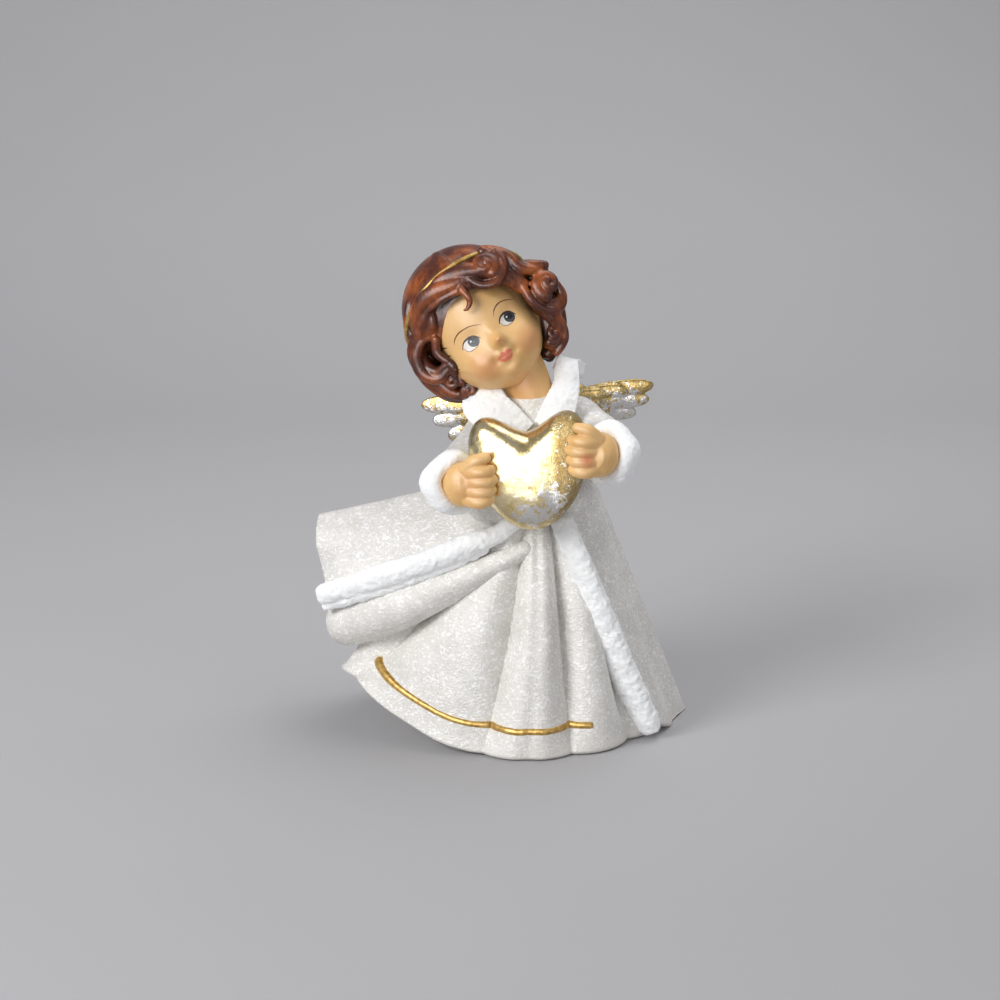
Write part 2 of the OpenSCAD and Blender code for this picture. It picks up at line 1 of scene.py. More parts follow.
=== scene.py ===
# %% [markdown]
# # A resin angel with a gold heart
#
# The real figurine is one or two polyester resin castings, about 120 mm tall, painted by hand. The dress
# and coat are frosted with coarse mica glitter, the fur edges are chalky white paint, the hair is glossy
# brown over a dark wash, and the heart and wings carry gold and silver leaf.
#
# The sculptor's clay had soft joins, so most pieces here are built the same way: simple forms are put
# together, then remeshed into one skin and smoothed.

# %% set up
import math
import bpy
import numpy as np
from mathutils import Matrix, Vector
from mathutils.bvhtree import BVHTree


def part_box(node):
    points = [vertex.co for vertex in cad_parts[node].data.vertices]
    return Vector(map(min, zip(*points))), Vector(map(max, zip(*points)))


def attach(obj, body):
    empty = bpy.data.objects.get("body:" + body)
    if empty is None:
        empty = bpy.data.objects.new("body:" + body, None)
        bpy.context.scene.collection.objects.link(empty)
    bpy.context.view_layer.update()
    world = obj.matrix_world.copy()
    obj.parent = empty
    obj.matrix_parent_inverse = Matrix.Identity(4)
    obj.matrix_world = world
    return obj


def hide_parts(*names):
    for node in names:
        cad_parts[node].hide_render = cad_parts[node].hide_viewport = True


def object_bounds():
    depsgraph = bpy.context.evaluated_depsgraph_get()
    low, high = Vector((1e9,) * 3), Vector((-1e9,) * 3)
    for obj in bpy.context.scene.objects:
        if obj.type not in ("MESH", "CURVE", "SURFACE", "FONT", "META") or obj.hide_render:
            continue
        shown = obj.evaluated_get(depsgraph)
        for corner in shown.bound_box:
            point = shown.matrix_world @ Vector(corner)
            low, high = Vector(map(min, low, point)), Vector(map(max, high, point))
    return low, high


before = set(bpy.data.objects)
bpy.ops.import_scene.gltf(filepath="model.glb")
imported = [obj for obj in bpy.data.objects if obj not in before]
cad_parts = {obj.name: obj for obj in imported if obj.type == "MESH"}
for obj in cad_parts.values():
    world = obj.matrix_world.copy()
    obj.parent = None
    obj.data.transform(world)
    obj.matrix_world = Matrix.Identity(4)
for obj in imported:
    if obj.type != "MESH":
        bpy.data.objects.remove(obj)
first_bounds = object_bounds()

low, high = first_bounds
K = (high[2] - low[2]) / 0.120
MM = 0.001 * K
print("height in mm:", round((high[2] - low[2]) * 1000, 1), "K:", round(K, 3))


# %% small tools
def middle(node):
    """Centre of a CAD node in model millimetres."""
    a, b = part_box(node)
    return np.array([(a[i] + b[i]) / 2 for i in range(3)]) / MM


def clear():
    for o in bpy.context.selected_objects:
        o.select_set(False)


def alone(o):
    clear()
    o.select_set(True)
    bpy.context.view_layer.objects.active = o


def raw_points(o):
    """The points of a mesh as Blender keeps them, one row each."""
    p = np.empty(len(o.data.vertices) * 3)
    o.data.vertices.foreach_get("co", p)
    return p.reshape(-1, 3)


def get_points(o):
    """The same points in model millimetres."""
    return raw_points(o) / MM


def set_points(o, p):
    o.data.vertices.foreach_set("co", (np.asarray(p) * MM).ravel())
    o.data.update()


def tidy(o, weld=1e-6):
    """Welds coincident points and turns the faces outward."""
    alone(o)
    bpy.ops.object.mode_set(mode="EDIT")
    bpy.ops.mesh.select_all(action="SELECT")
    bpy.ops.mesh.remove_doubles(threshold=weld)
    bpy.ops.mesh.normals_make_consistent(inside=False)
    bpy.ops.object.mode_set(mode="OBJECT")


def apply_all(o):
    alone(o)
    for m in list(o.modifiers):
        bpy.ops.object.modifier_apply(modifier=m.name)


def join(name, objects):
    clear()
    for o in objects:
        o.select_set(True)
    bpy.context.view_layer.objects.active = objects[0]
    if len(objects) > 1:
        bpy.ops.object.join()
    o = bpy.context.view_layer.objects.active
    o.name = name
    o.data.name = name
    return o


def sheet(name, nu, nv, place):
    """A grid whose every point is put at place(u, v), with u and v from 0 to 1."""
    clear()
    bpy.ops.mesh.primitive_grid_add(x_subdivisions=nu, y_subdivisions=nv, size=1)
    o = bpy.context.active_object
    o.name = name
    p = raw_points(o)
    set_points(o, place(p[:, 0] + 0.5, p[:, 1] + 0.5))
    tidy(o)
    return o


def ball(at, size, seg=24, rings=16):
    """A sphere with its centre at a point, pressed to three radii."""
    clear()
    bpy.ops.mesh.primitive_uv_sphere_add(segments=seg, ring_count=rings, radius=1)
    o = bpy.context.active_object
    set_points(o, raw_points(o) * np.array(size) + np.array(at))
    return o


def spline(a, b, c, d, s):
    """Catmull-Rom: the point at share s of the way from b to c."""
    return 0.5 * (2 * b + (c - a) * s + (2 * a - 5 * b + 4 * c - d) * s * s
                  + (3 * b - a - 3 * c + d) * s ** 3)


def catmull(points, t):
    """The curve through the points, at an array of t from 0 to 1."""
    p = np.array(points, float)
    m = len(p) - 1
    f = np.clip(t, 0, 1) * m
    i = np.minimum(f.astype(int), m - 1)
    return spline(p[np.maximum(i - 1, 0)], p[i], p[i + 1], p[np.minimum(i + 2, m)], (f - i)[:, None])


def curve_through(points, n):
    """The same curve, as n points."""
    return catmull(points, np.linspace(0, 1, n))


def tube(path, radii, sides=16, flat=None):
    """A closed round skin along a path. flat is a direction it is pressed along, and how much."""
    path = np.asarray(path, float)
    n = len(path)
    tangent = np.gradient(path, axis=0)
    tangent /= np.maximum(np.linalg.norm(tangent, axis=1), 1e-9)[:, None]
    up = np.array([0.31, 0.22, 0.93])
    normals = []
    for t in tangent:
        up = up - t * np.dot(up, t)
        up = up / max(np.linalg.norm(up), 1e-9)
        normals.append(up)
    normals = np.array(normals)
    across = np.cross(tangent, normals)
    rr = np.interp(np.linspace(0, 1, n), np.linspace(0, 1, len(radii)), radii)

    def place(u, v):
        # the last step at each end closes to a round tip
        f = v * (n + 5) - 3
        j = np.clip(f, 0, n - 1)
        i = np.minimum(j.astype(int), n - 2)
        s = (j - i)[:, None]
        over = np.where(f < 0, f, np.where(f > n - 1, f - (n - 1), 0)) / 3
        q = path[i] * (1 - s) + path[i + 1] * s
        a = normals[i] * (1 - s) + normals[i + 1] * s
        b = across[i] * (1 - s) + across[i + 1] * s
        d = tangent[i] * (1 - s) + tangent[i + 1] * s
        r = rr[i] * (1 - s[:, 0]) + rr[i + 1] * s[:, 0]
        ring = np.sqrt(np.clip(1 - over ** 2, 0, 1)) * r
        w = u * 2 * np.pi
        side = a * np.cos(w)[:, None] + b * np.sin(w)[:, None]
        if flat is not None:
            k = np.array(flat[0], float)
            side = side - k * (side @ k)[:, None] * (1 - flat[1])
        return q + side * ring[:, None] + d * (over * r)[:, None]

    return sheet("tube", sides, n + 5, place)


def remesh(o, voxel, smooth=4):
    """One clay skin over everything in o."""
    alone(o)
    m = o.modifiers.new("skin", "REMESH")
    m.mode = "VOXEL"
    m.voxel_size = voxel * MM
    m.use_smooth_shade = True
    s = o.modifiers.new("smooth", "SMOOTH")
    s.factor = 0.5
    s.iterations = smooth
    apply_all(o)
    bpy.ops.object.shade_smooth()
    return o


def lighten(o, limit=195000):
    """Thins a piece until it has fewer triangles than the limit, least where it curves."""
    count = sum(len(f.vertices) - 2 for f in o.data.polygons)
    if count > limit:
        alone(o)
        m = o.modifiers.new("thin", "DECIMATE")
        m.ratio = limit / count
        apply_all(o)
    return o


def rough(o, size, strength):
    """Pushes the surface in and out with a noise of a given grain, in millimetres."""
    alone(o)
    t = bpy.data.textures.new("grain", "CLOUDS")
    t.noise_scale = size * MM
    t.noise_depth = 2
    m = o.modifiers.new("grain", "DISPLACE")
    m.texture = t
    m.texture_coords = "LOCAL"
    m.strength = strength * MM
    m.mid_level = 0.5
    apply_all(o)
    return o


def finish_piece(o, mat, slot, *nodes):
    """Gives a piece its paint and its place in the frame."""
    o.name = o.name.replace(" ", "_")
    o.data.materials.clear()
    o.data.materials.append(mat)
    alone(o)
    bpy.ops.object.shade_smooth()
    if nodes:
        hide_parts(*nodes)
    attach(o, "root")
    print(o.name, len(o.data.polygons), "faces", [round(d * 1000, 1) for d in o.dimensions])
    return o


# %% colour and node tools
def srgb(text):
    """Linear colour from a painter's hex colour."""
    c = [int(text[i:i + 2], 16) / 255 for i in (1, 3, 5)]
    return tuple(x / 12.92 if x <= 0.04045 else ((x + 0.055) / 1.055) ** 2.4 for x in c) + (1.0,)


def new_material(name):
    m = bpy.data.materials.new(name)
    m.use_nodes = True
    return m, m.node_tree, m.node_tree.nodes["Principled BSDF"]


def add(tree, kind, links=None, **settings):
    """One node, its settings and the values or sockets that feed it."""
    n = tree.nodes.new(kind)
    for k, v in settings.items():
        setattr(n, k, v)
    for k, v in (links or {}).items():
        s = n.inputs[k]
        if isinstance(v, bpy.types.NodeSocket):
            tree.links.new(v, s)
        else:
            s.default_value = v
    return n


def ramp(tree, source, stops, mode="LINEAR"):
    n = add(tree, "ShaderNodeValToRGB", {0: source})
    n.color_ramp.interpolation = mode
    while len(n.color_ramp.elements) < len(stops):
        n.color_ramp.elements.new(0.5)
    for e, (at, colour) in zip(n.color_ramp.elements, stops):
        e.position = at
        e.color = srgb(colour) if isinstance(colour, str) else (colour, colour, colour, 1)
    return n.outputs[0]


def math_node(tree, op, a, b=0.0, clamp=False):
    return add(tree, "ShaderNodeMath", {0: a, 1: b}, operation=op, use_clamp=clamp).outputs[0]


def times(tree, a, b):
    return math_node(tree, "MULTIPLY", a, b)


def along_axis(tree, coords, axis):
    """One coordinate, 0 for X to 2 for Z."""
    return add(tree, "ShaderNodeSeparateXYZ", {0: coords}).outputs[axis]


def fade(tree, value, start, end, least=0.0, most=1.0):
    """Goes from the least to the most while the input goes from start to end."""
    return add(tree, "ShaderNodeMapRange", {0: value, 1: start, 2: end, 3: least, 4: most}).outputs[0]


def mixed(tree, amount, a, b):
    """Colour a going over to colour b as amount goes from 0 to 1."""
    n = add(tree, "ShaderNodeMix", data_type="RGBA")
    for i, v in ((0, amount), (6, a), (7, b)):
        if isinstance(v, bpy.types.NodeSocket):
            tree.links.new(v, n.inputs[i])
        elif i == 0:
            n.inputs[i].default_value = v
        else:
            n.inputs[i].default_value = srgb(v) if isinstance(v, str) else v
    return n.outputs[2]


def millimetres(tree):
    """Object coordinates in model millimetres."""
    c = add(tree, "ShaderNodeTexCoord").outputs["Object"]
    return add(tree, "ShaderNodeVectorMath", {0: c, 3: 1 / MM}, operation="SCALE").outputs[0]


def stretched(tree, coords, turn, stretch):
    return add(tree, "ShaderNodeMapping", {"Vector": coords, "Rotation": turn, "Scale": stretch}).outputs[0]


def noise(tree, coords, scale, detail=2.0, rough_=0.5, distortion=0.0):
    return add(tree, "ShaderNodeTexNoise", {"Vector": coords, "Scale": scale, "Detail": detail,
                                            "Roughness": rough_, "Distortion": distortion}).outputs[0]


def bump(tree, height, strength, distance, normal=None):
    links = {"Height": height, "Strength": strength, "Distance": distance * MM}
    if normal is not None:
        links["Normal"] = normal
    return add(tree, "ShaderNodeBump", links).outputs[0]


def grooves(tree, deepest, flat):
    """1 in the sharp hollows of a mesh, 0 where it is flat."""
    point = add(tree, "ShaderNodeNewGeometry").outputs["Pointiness"]
    return ramp(tree, point, [(deepest, 1.0), (flat, 0.0)])


def distance_from(tree, coords, at):
    return add(tree, "ShaderNodeVectorMath", {0: coords, 1: tuple(at)}, operation="DISTANCE").outputs["Value"]


# %% [markdown]
# ## Paint
#
# The glitter coat is off-white paint with mica flakes about 0.5 to 1 mm long, lying in every direction.
# Three stretched noises give the flakes three directions, and a slow noise chooses between them.

# %% glitter
def glitter_paint(name, base, flake, shade):
    m, t, b = new_material(name)
    c = millimetres(t)
    flake_lies = (((0.3, 0.2, 0.3), (0.62, 1.5, 1.5)), ((0.2, 0.9, 1.2), (1.5, 0.7, 1.4)),
                  ((0.5, 0.1, -0.3), (0.8, 1.5, 1.3)))
    layers = [noise(t, stretched(t, c, turn, stretch), 1.12, 2.0, 0.55, 0.5) for turn, stretch in flake_lies]
    pick = noise(t, c, 0.45, 1.0)
    field = layers[0]
    for layer, above in ((layers[1], 0.47), (layers[2], 0.55)):
        here = math_node(t, "GREATER_THAN", pick, above)
        field = add(t, "ShaderNodeMix", {0: here, 2: field, 3: layer}, data_type="FLOAT").outputs[0]
    flakes = ramp(t, field, [(0.53, 0.0), (0.62, 1.0)])
    gaps = ramp(t, field, [(0.28, 1.0), (0.44, 0.0)])
    patch = ramp(t, noise(t, c, 0.13, 3.0, 0.6), [(0.38, 0.0), (0.62, 1.0)])
    colour = mixed(t, times(t, patch, 0.55), base, shade)
    colour = mixed(t, times(t, gaps, 0.22), colour, shade)
    # fewer flakes in the thin patches, and none on the bare foot of the hem
    thick = math_node(t, "SUBTRACT", 0.85, times(t, patch, 0.30))
    flakes = times(t, flakes, fade(t, along_axis(t, c, 2), 1.6, 3.6))
    colour = mixed(t, times(t, flakes, thick), colour, flake)
    t.links.new(colour, b.inputs["Base Color"])
    fine = add(t, "ShaderNodeTexVoronoi", {"Vector": c, "Scale": 2.2}, feature="F1")
    n = bump(t, field, 0.50, 0.50)
    n = bump(t, fine.outputs["Distance"], 0.22, 0.22, n)
    t.links.new(n, b.inputs["Normal"])
    spark = ramp(t, fine.outputs["Color"], [(0.80, 0.48), (0.86, 0.20)])
    t.links.new(spark, b.inputs["Roughness"])
    b.inputs["Specular IOR Level"].default_value = 0.5
    return m


# %% fur, leaf, hair, skin and small paints
def fur_paint(name):
    """Chalky white paint over stippled clay, a little grey left in the pits, and painted shade in the sharp
    hollows.
    """
    m, t, b = new_material(name)
    c = millimetres(t)
    pits = noise(t, c, 1.5, 3.0, 0.62)
    broad = noise(t, c, 0.28, 2.0)
    colour = mixed(t, times(t, ramp(t, pits, [(0.28, 1.0), (0.40, 0.0)]), 0.6), "#fcfdfd", "#cdd1d4")
    colour = mixed(t, times(t, ramp(t, broad, [(0.45, 0.0), (0.75, 1.0)]), 0.35), colour, "#e8ecef")
    # painted shade: grey in the sharp hollows of the mesh
    colour = mixed(t, times(t, grooves(t, 0.40, 0.485), 0.55), colour, "#8d8f92")
    t.links.new(colour, b.inputs["Base Color"])
    n = bump(t, pits, 0.32, 0.40)
    n = bump(t, noise(t, c, 4.5, 2.0), 0.18, 0.10, n)
    t.links.new(n, b.inputs["Normal"])
    b.inputs["Roughness"].default_value = 0.72
    b.inputs["Specular IOR Level"].default_value = 0.35
    return m


def leaf_metal(name, silver_at, silver_size, gold, brown_gold, silver_edge, crinkle_and_shade_from=None):
    """Gold leaf with torn silver patches, crinkled, with brown left in the recesses and painted shade there.
    With crinkle_and_shade_from, the leaf is smooth up to that X in mm; past it, it is crinkled and painted
    darker as shade."""
    m, t, b = new_material(name)
    c = millimetres(t)
    near = None
    for at in silver_at:
        f = math_node(t, "SUBTRACT", 1.0, math_node(t, "DIVIDE", distance_from(t, c, at), silver_size), True)
        near = f if near is None else math_node(t, "MAXIMUM", near, f)
    field = math_node(t, "ADD", noise(t, c, 0.62, 4.0, 0.66, 0.6), times(t, near, 0.30))
    silver = ramp(t, field, [(silver_edge + 0.08, 0.0), (silver_edge + 0.12, 1.0)])
    tone = ramp(t, noise(t, c, 0.30, 4.0, 0.62), [(0.38, 0.0), (0.66, 1.0)])
    leaf = mixed(t, tone, gold, brown_gold)
    wrinkle = noise(t, stretched(t, c, (0, 0.5, 0), (1.6, 1.0, 0.7)), 1.3, 5.0, 0.7, 1.0)
    if crinkle_and_shade_from is None:
        amount = strength = 0.35
    else:
        amount = fade(t, along_axis(t, c, 0), crinkle_and_shade_from - 1.5, crinkle_and_shade_from + 1.5, 0.04, 0.75)
        strength = math_node(t, "ADD", times(t, amount, 0.9), 0.05)
        # past that X the leaf is painted darker and browner: painted shade on that side of the heart
        leaf = mixed(t, times(t, amount, 0.9), leaf, "#94783f")
    worn = times(t, ramp(t, wrinkle, [(0.56, 0.0), (0.66, 1.0)]), amount)
    leaf = mixed(t, worn, leaf, "#6e4f1d")
    colour = mixed(t, silver, leaf, "#d7d5d2")
    # brown left in the recesses, deepened as painted shade in the sharp hollows
    colour = mixed(t, times(t, grooves(t, 0.42, 0.495), 0.8), colour, "#3d2a12")
    t.links.new(colour, b.inputs["Base Color"])
    b.inputs["Metallic"].default_value = 0.95
    t.links.new(ramp(t, noise(t, c, 0.9, 3.0, 0.6), [(0.3, 0.16), (0.7, 0.30)]), b.inputs["Roughness"])
    t.links.new(bump(t, field, strength, 0.25, bump(t, wrinkle, strength, 0.6)), b.inputs["Normal"])
    return m


def hair_paint(name):
    """Glossy brown over a near-black wash, with painted shade: dark in the grooves, orange-brown where the
    brush was dry.
    """
    m, t, b = new_material(name)
    c = millimetres(t)
    patch = noise(t, c, 0.16, 2.0, 0.5)
    streak = noise(t, stretched(t, c, (0, 0.6, 0.2), (1.3, 0.9, 0.4)), 1.1, 3.0, 0.6, 0.6)
    tone = math_node(t, "ADD", patch, times(t, math_node(t, "SUBTRACT", streak, 0.5), 0.35))
    colour = ramp(t, tone, [(0.36, "#4a2115"), (0.48, "#5e2c18"), (0.57, "#7e3f1c"), (0.68, "#a35623")])
    # the dark wash in the grooves, with painted shade from ambient occlusion and in the sharp hollows
    hollow = add(t, "ShaderNodeAmbientOcclusion", {"Distance": 2.6 * MM}, samples=6).outputs["AO"]
    wash_and_shade = ramp(t, hollow, [(0.30, 1.0), (0.80, 0.0)])
    colour = mixed(t, times(t, wash_and_shade, 0.88), colour, "#1f0e0a")
    colour = mixed(t, times(t, grooves(t, 0.41, 0.485), 0.5), colour, "#2a130d")
    t.links.new(colour, b.inputs["Base Color"])
    t.links.new(bump(t, streak, 0.22, 0.45), b.inputs["Normal"])
    b.inputs["Roughness"].default_value = 0.34
    b.inputs["Specular IOR Level"].default_value = 0.38
    b.inputs["Coat Weight"].default_value = 0.10
    b.inputs["Coat Roughness"].default_value = 0.15
    return m


def skin_paint(name, spots):
    """Warm flesh paint with coral spots: (centre in mm, radius in mm, strength). The spots on cheeks, nose,
    chin, ear and hands are airbrushed blush; those under the chin are painted shade.
    """
    m, t, b = new_material(name)
    c = millimetres(t)
    colour = mixed(t, ramp(t, noise(t, c, 0.16, 2.0), [(0.35, 0.0), (0.7, 1.0)]), "#ecc083", "#e4b472")
    for at, radius, strength in spots:
        share = math_node(t, "DIVIDE", distance_from(t, c, at), radius)
        spot = ramp(t, share, [(0.0, strength), (0.45, strength * 0.62), (1.0, 0.0)], "EASE")
        colour = mixed(t, spot, colour, "#d9694a")
    # painted shade: darker in the sharp hollows of the mesh
    colour = mixed(t, times(t, grooves(t, 0.42, 0.49), 0.55), colour, "#a8653c")
    t.links.new(colour, b.inputs["Base Color"])
    b.inputs["Roughness"].default_value = 0.42
    t.links.new(bump(t, noise(t, c, 1.2, 3.0), 0.06, 0.3), b.inputs["Normal"])
    return m


def plain_paint(name, colour, shade, roughness=0.4, metallic=0.0, grain=1.2):
    """Brush paint with a slight change of tone."""
    m, t, b = new_material(name)
    c = millimetres(t)
    t.links.new(mixed(t, ramp(t, noise(t, c, grain, 3.0), [(0.35, 0.0), (0.65, 1.0)]), colour, shade),
                b.inputs["Base Color"])
    b.inputs["Roughness"].default_value = roughness
    b.inputs["Metallic"].default_value = metallic
    t.links.new(bump(t, noise(t, c, grain * 2, 2.0), 0.15, 0.15), b.inputs["Normal"])
    return m


dress_mat = glitter_paint("mica glitter on resin, brushed", "#e6e3dd", "#ffffff", "#d0cdc6")
coat_mat = glitter_paint("mica glitter on resin, coat", "#e2dfda", "#ffffff", "#cbc8c3")
fur_mat = fur_paint("white chalk paint on stippled resin")
hair_mat = hair_paint("brown gloss paint over dark wash")
band_mat = plain_paint("gold bronze paint, brushed", "#cfab63", "#a37d38", 0.40, 0.45, 0.9)


# %% [markdown]
# ## Dress
#
# The dress is a cone of cloth in deep front pleats. Its hem lifts off the shelf at the left. A grid is
# rolled round, and each point is put on the form.

# %% dress
def bell(x, w):
    return np.exp(-(x * x) / (w * w))


def lift(a):
    return np.maximum(0, np.cos(np.radians(a - 187))) ** 5


def hem_line(a):
    r = np.radians(a)
    swing = np.maximum(0, np.cos(np.radians(a - 14))) ** 3
    return np.stack([-3 + 30 * np.cos(r) - 15 * lift(a) + 5 * swing, 28 * np.sin(r), 0.2 + 14 * lift(a)], -1)


def waist_line(a):
    r = np.radians(a)
    return np.stack([-2 + 11.3 * np.cos(r), -3 + 11 * np.sin(r), 54 + 0 * a], -1)


VALLEYS_HEM = [170, 196, 250, 293, 326, 352]
VALLEYS_TOP = [186, 214, 262, 300, 330, 352]


def pleats(a, t):
    """How far the cloth stands out: round lobes between sharp valleys."""
    lobes = np.zeros_like(a)
    for i in range(len(VALLEYS_HEM) - 1):
        left = VALLEYS_HEM[i] + (VALLEYS_TOP[i] - VALLEYS_HEM[i]) * t
        right = VALLEYS_HEM[i + 1] + (VALLEYS_TOP[i + 1] - VALLEYS_HEM[i + 1]) * t
        s = (a - left) / (right - left)
        inside = (s > 0) & (s < 1)
        lobes = np.where(inside, np.sin(np.pi * np.clip(s, 0, 1)) ** 0.75, lobes)
    front = np.clip((a - 176) / 12, 0, 1) * np.clip((350 - a) / 12, 0, 1)
    depth = 1.6 + 4.8 * np.sin(np.pi * np.clip(t * 0.9 + 0.06, 0, 1)) ** 1.1
    crease = bell(a - (271 + 8 * t), 5.0) * 0.7 + bell(a - (222 + 16 * t), 8) * 0.6
    return ((lobes - 0.62) * depth - crease) * front


def skirt_point(a, t):
    r = np.radians(a)
    out = np.stack([np.cos(r), np.sin(r), 0 * r], -1)
    base = hem_line(a) * (1 - t)[:, None] + waist_line(a) * t[:, None]
    return base + out * (pleats(a, t) + 0.8 * np.sin(np.pi * t))[:, None]


TURN = 0.12  # share of the grid that turns under the hem


def skirt_place(u, v):
    a = u * 360
    r = np.radians(a)
    out = np.stack([np.cos(r), np.sin(r), 0 * r], -1)
    up = np.array([0, 0, 0.9])
    top = skirt_point(a, np.clip((v - TURN) / (1 - TURN), 0, 1))
    top = top + up * np.clip(1 - (v - TURN) / 0.05, 0, 1)[:, None]
    # the hem turns under with a small round edge, then runs in to the foot
    under = np.clip(1 - v / TURN, 0, 1)
    round_share = (under / 0.3).clip(0, 1)
    edge = skirt_point(a, 0 * a) - out * (0.9 * (1 - np.sqrt(1 - round_share ** 2)))[:, None]
    edge[:, 2] += 0.9 * (1 - round_share)
    foot = out * 25 + np.array([-1.5, 0, 0.2])
    inward = np.clip((under - 0.3) / 0.7, 0, 1)[:, None]
    return np.where((v > TURN)[:, None], top, edge * (1 - inward) + foot * inward)


dress = sheet("dress_skirt_cloth", 420, 200, skirt_place)
finish_piece(dress, dress_mat, "glitter_resin", "dress_skirt")

bodice_at = middle("dress_bodice")
neckline = [(-1.5 + 6.6 * math.cos(w), -3.6 + 6.0 * math.sin(w), 80.9 + 0.5 * math.cos(w))
            for w in np.linspace(0, 6.283, 60)]
parts = [ball(bodice_at + np.array([0, 0, -2]), (10.6, 10.2, 15), 64, 40),
         tube([(-1.9, -3.4, 76), (-1.7, -3.5, 78.6), (-1.5, -3.5, 81.0)], [9.4, 8.2, 6.8], 48),
         tube(neckline, [0.8, 0.8], 16)]
bodice = remesh(join("dress_bodice_cloth", parts), 0.4, 6)
finish_piece(bodice, dress_mat, "glitter_resin", "dress_bodice")


# %% [markdown]
# ## Coat
#
# One sheet of cloth runs from the right front edge, round the back, to the left edge, where the wind
# has blown it out. The jacket and the sleeves are joined to it as clay would be.

# %% coat
COAT_HEM = [(29, -13, 3.5), (35.5, -2, -1), (37, 10, -1), (27, 23, -1), (8, 30, -1), (-13, 29, -1),
            (-31, 24, 7), (-44, 17, 23), (-52, 11, 41), (-54, 3, 54), (-53.5, -4, 46), (-51.5, -9, 35)]
COAT_TOP = [(7, -15, 57), (12.6, -8.6, 62), (13.4, 0, 64), (10, 8, 65), (4, 10.8, 65), (-5, 10.8, 65),
            (-11, 8.6, 65), (-14.4, 5, 64), (-17, 1, 63), (-17.4, -3, 61.5), (-14, -9, 57), (-4, -17, 52.5)]


def coat_line(u, v):
    base = catmull(COAT_TOP, u) * (1 - v)[:, None] + catmull(COAT_HEM, u) * v[:, None]
    swell = np.sin(np.pi * v)
    base[:, 1] -= 3.2 * swell * np.clip(u * 4 - 3, 0, 1) ** 1.5 + 1.2 * swell * np.clip(1 - u * 6, 0, 1)
    return base


def coat_normal(u, v):
    e = 0.01
    uu, vv = np.clip(u, e, 1 - e), np.clip(v, e, 1 - e)
    n = np.cross(coat_line(uu, vv + e) - coat_line(uu, vv - e), coat_line(uu + e, vv) - coat_line(uu - e, vv))
    return n / np.maximum(np.linalg.norm(n, axis=1), 1e-9)[:, None]


def coat_skin(u, v, inward=0.0):
    edge = np.clip(np.minimum(u, 1 - u) * 12, 0, 1)
    flute = 1.1 * v * np.sin(u * 2 * np.pi * 7) * edge
    soft = 0.35 * np.sin(u * 41 + 2.2 * v) * v ** 0.7 * edge
    return coat_line(u, v) - coat_normal(u, v) * (inward - flute - soft)[:, None]


def coat_place(u, v):
    return coat_skin(u * (0.972 + 0.026 * v), v, 0 * u)


def solid(o, thick, offset=-1.0):
    """Gives a sheet its thickness."""
    alone(o)
    m = o.modifiers.new("thick", "SOLIDIFY")
    m.thickness = thick * MM
    m.offset = offset
    apply_all(o)
    return o


cuff_left_at = middle("cuff_left")
cuff_right_at = middle("cuff_right")
cloth_sheet = sheet("coat sheet", 360, 150, coat_place)
solid(cloth_sheet, 2.6)
sleeve_left_path = curve_through([(-8, 2, 76.0), (-11.8, 0, 74.0), (-15.6, -7, 69.4),
                                  cuff_left_at + [0.6, 6, 0.6], cuff_left_at + [0, 1.5, 0]], 26)
sleeve_right_path = curve_through([(7.0, 2, 77.6), (10.6, 0, 76.8), (14.2, -7, 74.4),
                                   cuff_right_at + [-0.4, 6, 0.6], cuff_right_at + [0, 1.5, 0]], 26)
coat_parts = [cloth_sheet,
              ball((-1.5, 1.0, 73), (12.4, 11.4, 9.6), 64, 40),
              ball((-1.5, 0.6, 66), (13.3, 12.0, 12), 64, 40),
              ball((-8, -8, 58.5), (9.5, 8.4, 5.6), 48, 32),
              ball((6.5, -7.4, 60.5), (6.6, 8.4, 6.4), 48, 32),
              tube(sleeve_left_path, [5.6, 5.9, 5.5, 6.2, 5.6, 6.2, 5.4], 40),
              tube(sleeve_right_path, [5.2, 5.7, 5.4, 6.1, 5.5, 6.1, 5.4], 40)]
coat = remesh(join("coat", coat_parts), 0.42, 6)
p = get_points(coat)
p[:, 2] = np.maximum(p[:, 2], 0.2)
set_points(coat, p)
lighten(coat)
finish_piece(coat, coat_mat, "glitter_resin", "coat_body", "coat_flap", "sleeve_left", "sleeve_right")


# %% lining and fur edges
def lining_path(t):
    start = coat_skin(np.ones_like(t), t, np.ones_like(t))
    return start + np.stack([1 + 4 * t, 2 + 1.5 * t, -3 - 4.5 * t], -1)


ts = np.linspace(0, 1, 40)
lining = tube(lining_path(ts), [2.2, 3.0, 4.0, 5.0, 6.0, 6.4, 6.0], 64)
lining = remesh(lining, 0.4, 8)
lining.name = "lining fold"
finish_piece(lining, dress_mat, "glitter_resin", "coat_lining")


def edge_path(u, t):
    q = coat_skin(np.full_like(t, u), t, np.full_like(t, 0.9))
    return q + (np.array([0, -1.3, 0.2]) if u > 0.5 else np.array([-0.6, -1.2, 0]))


def fur(o, size, amount):
    """Stippled clay: coarse lumps, then finer ones."""
    remesh(o, 0.26, 3)
    rough(o, 2.6, amount * 1.1)
    rough(o, size * 0.55, amount * 0.8)
    return o


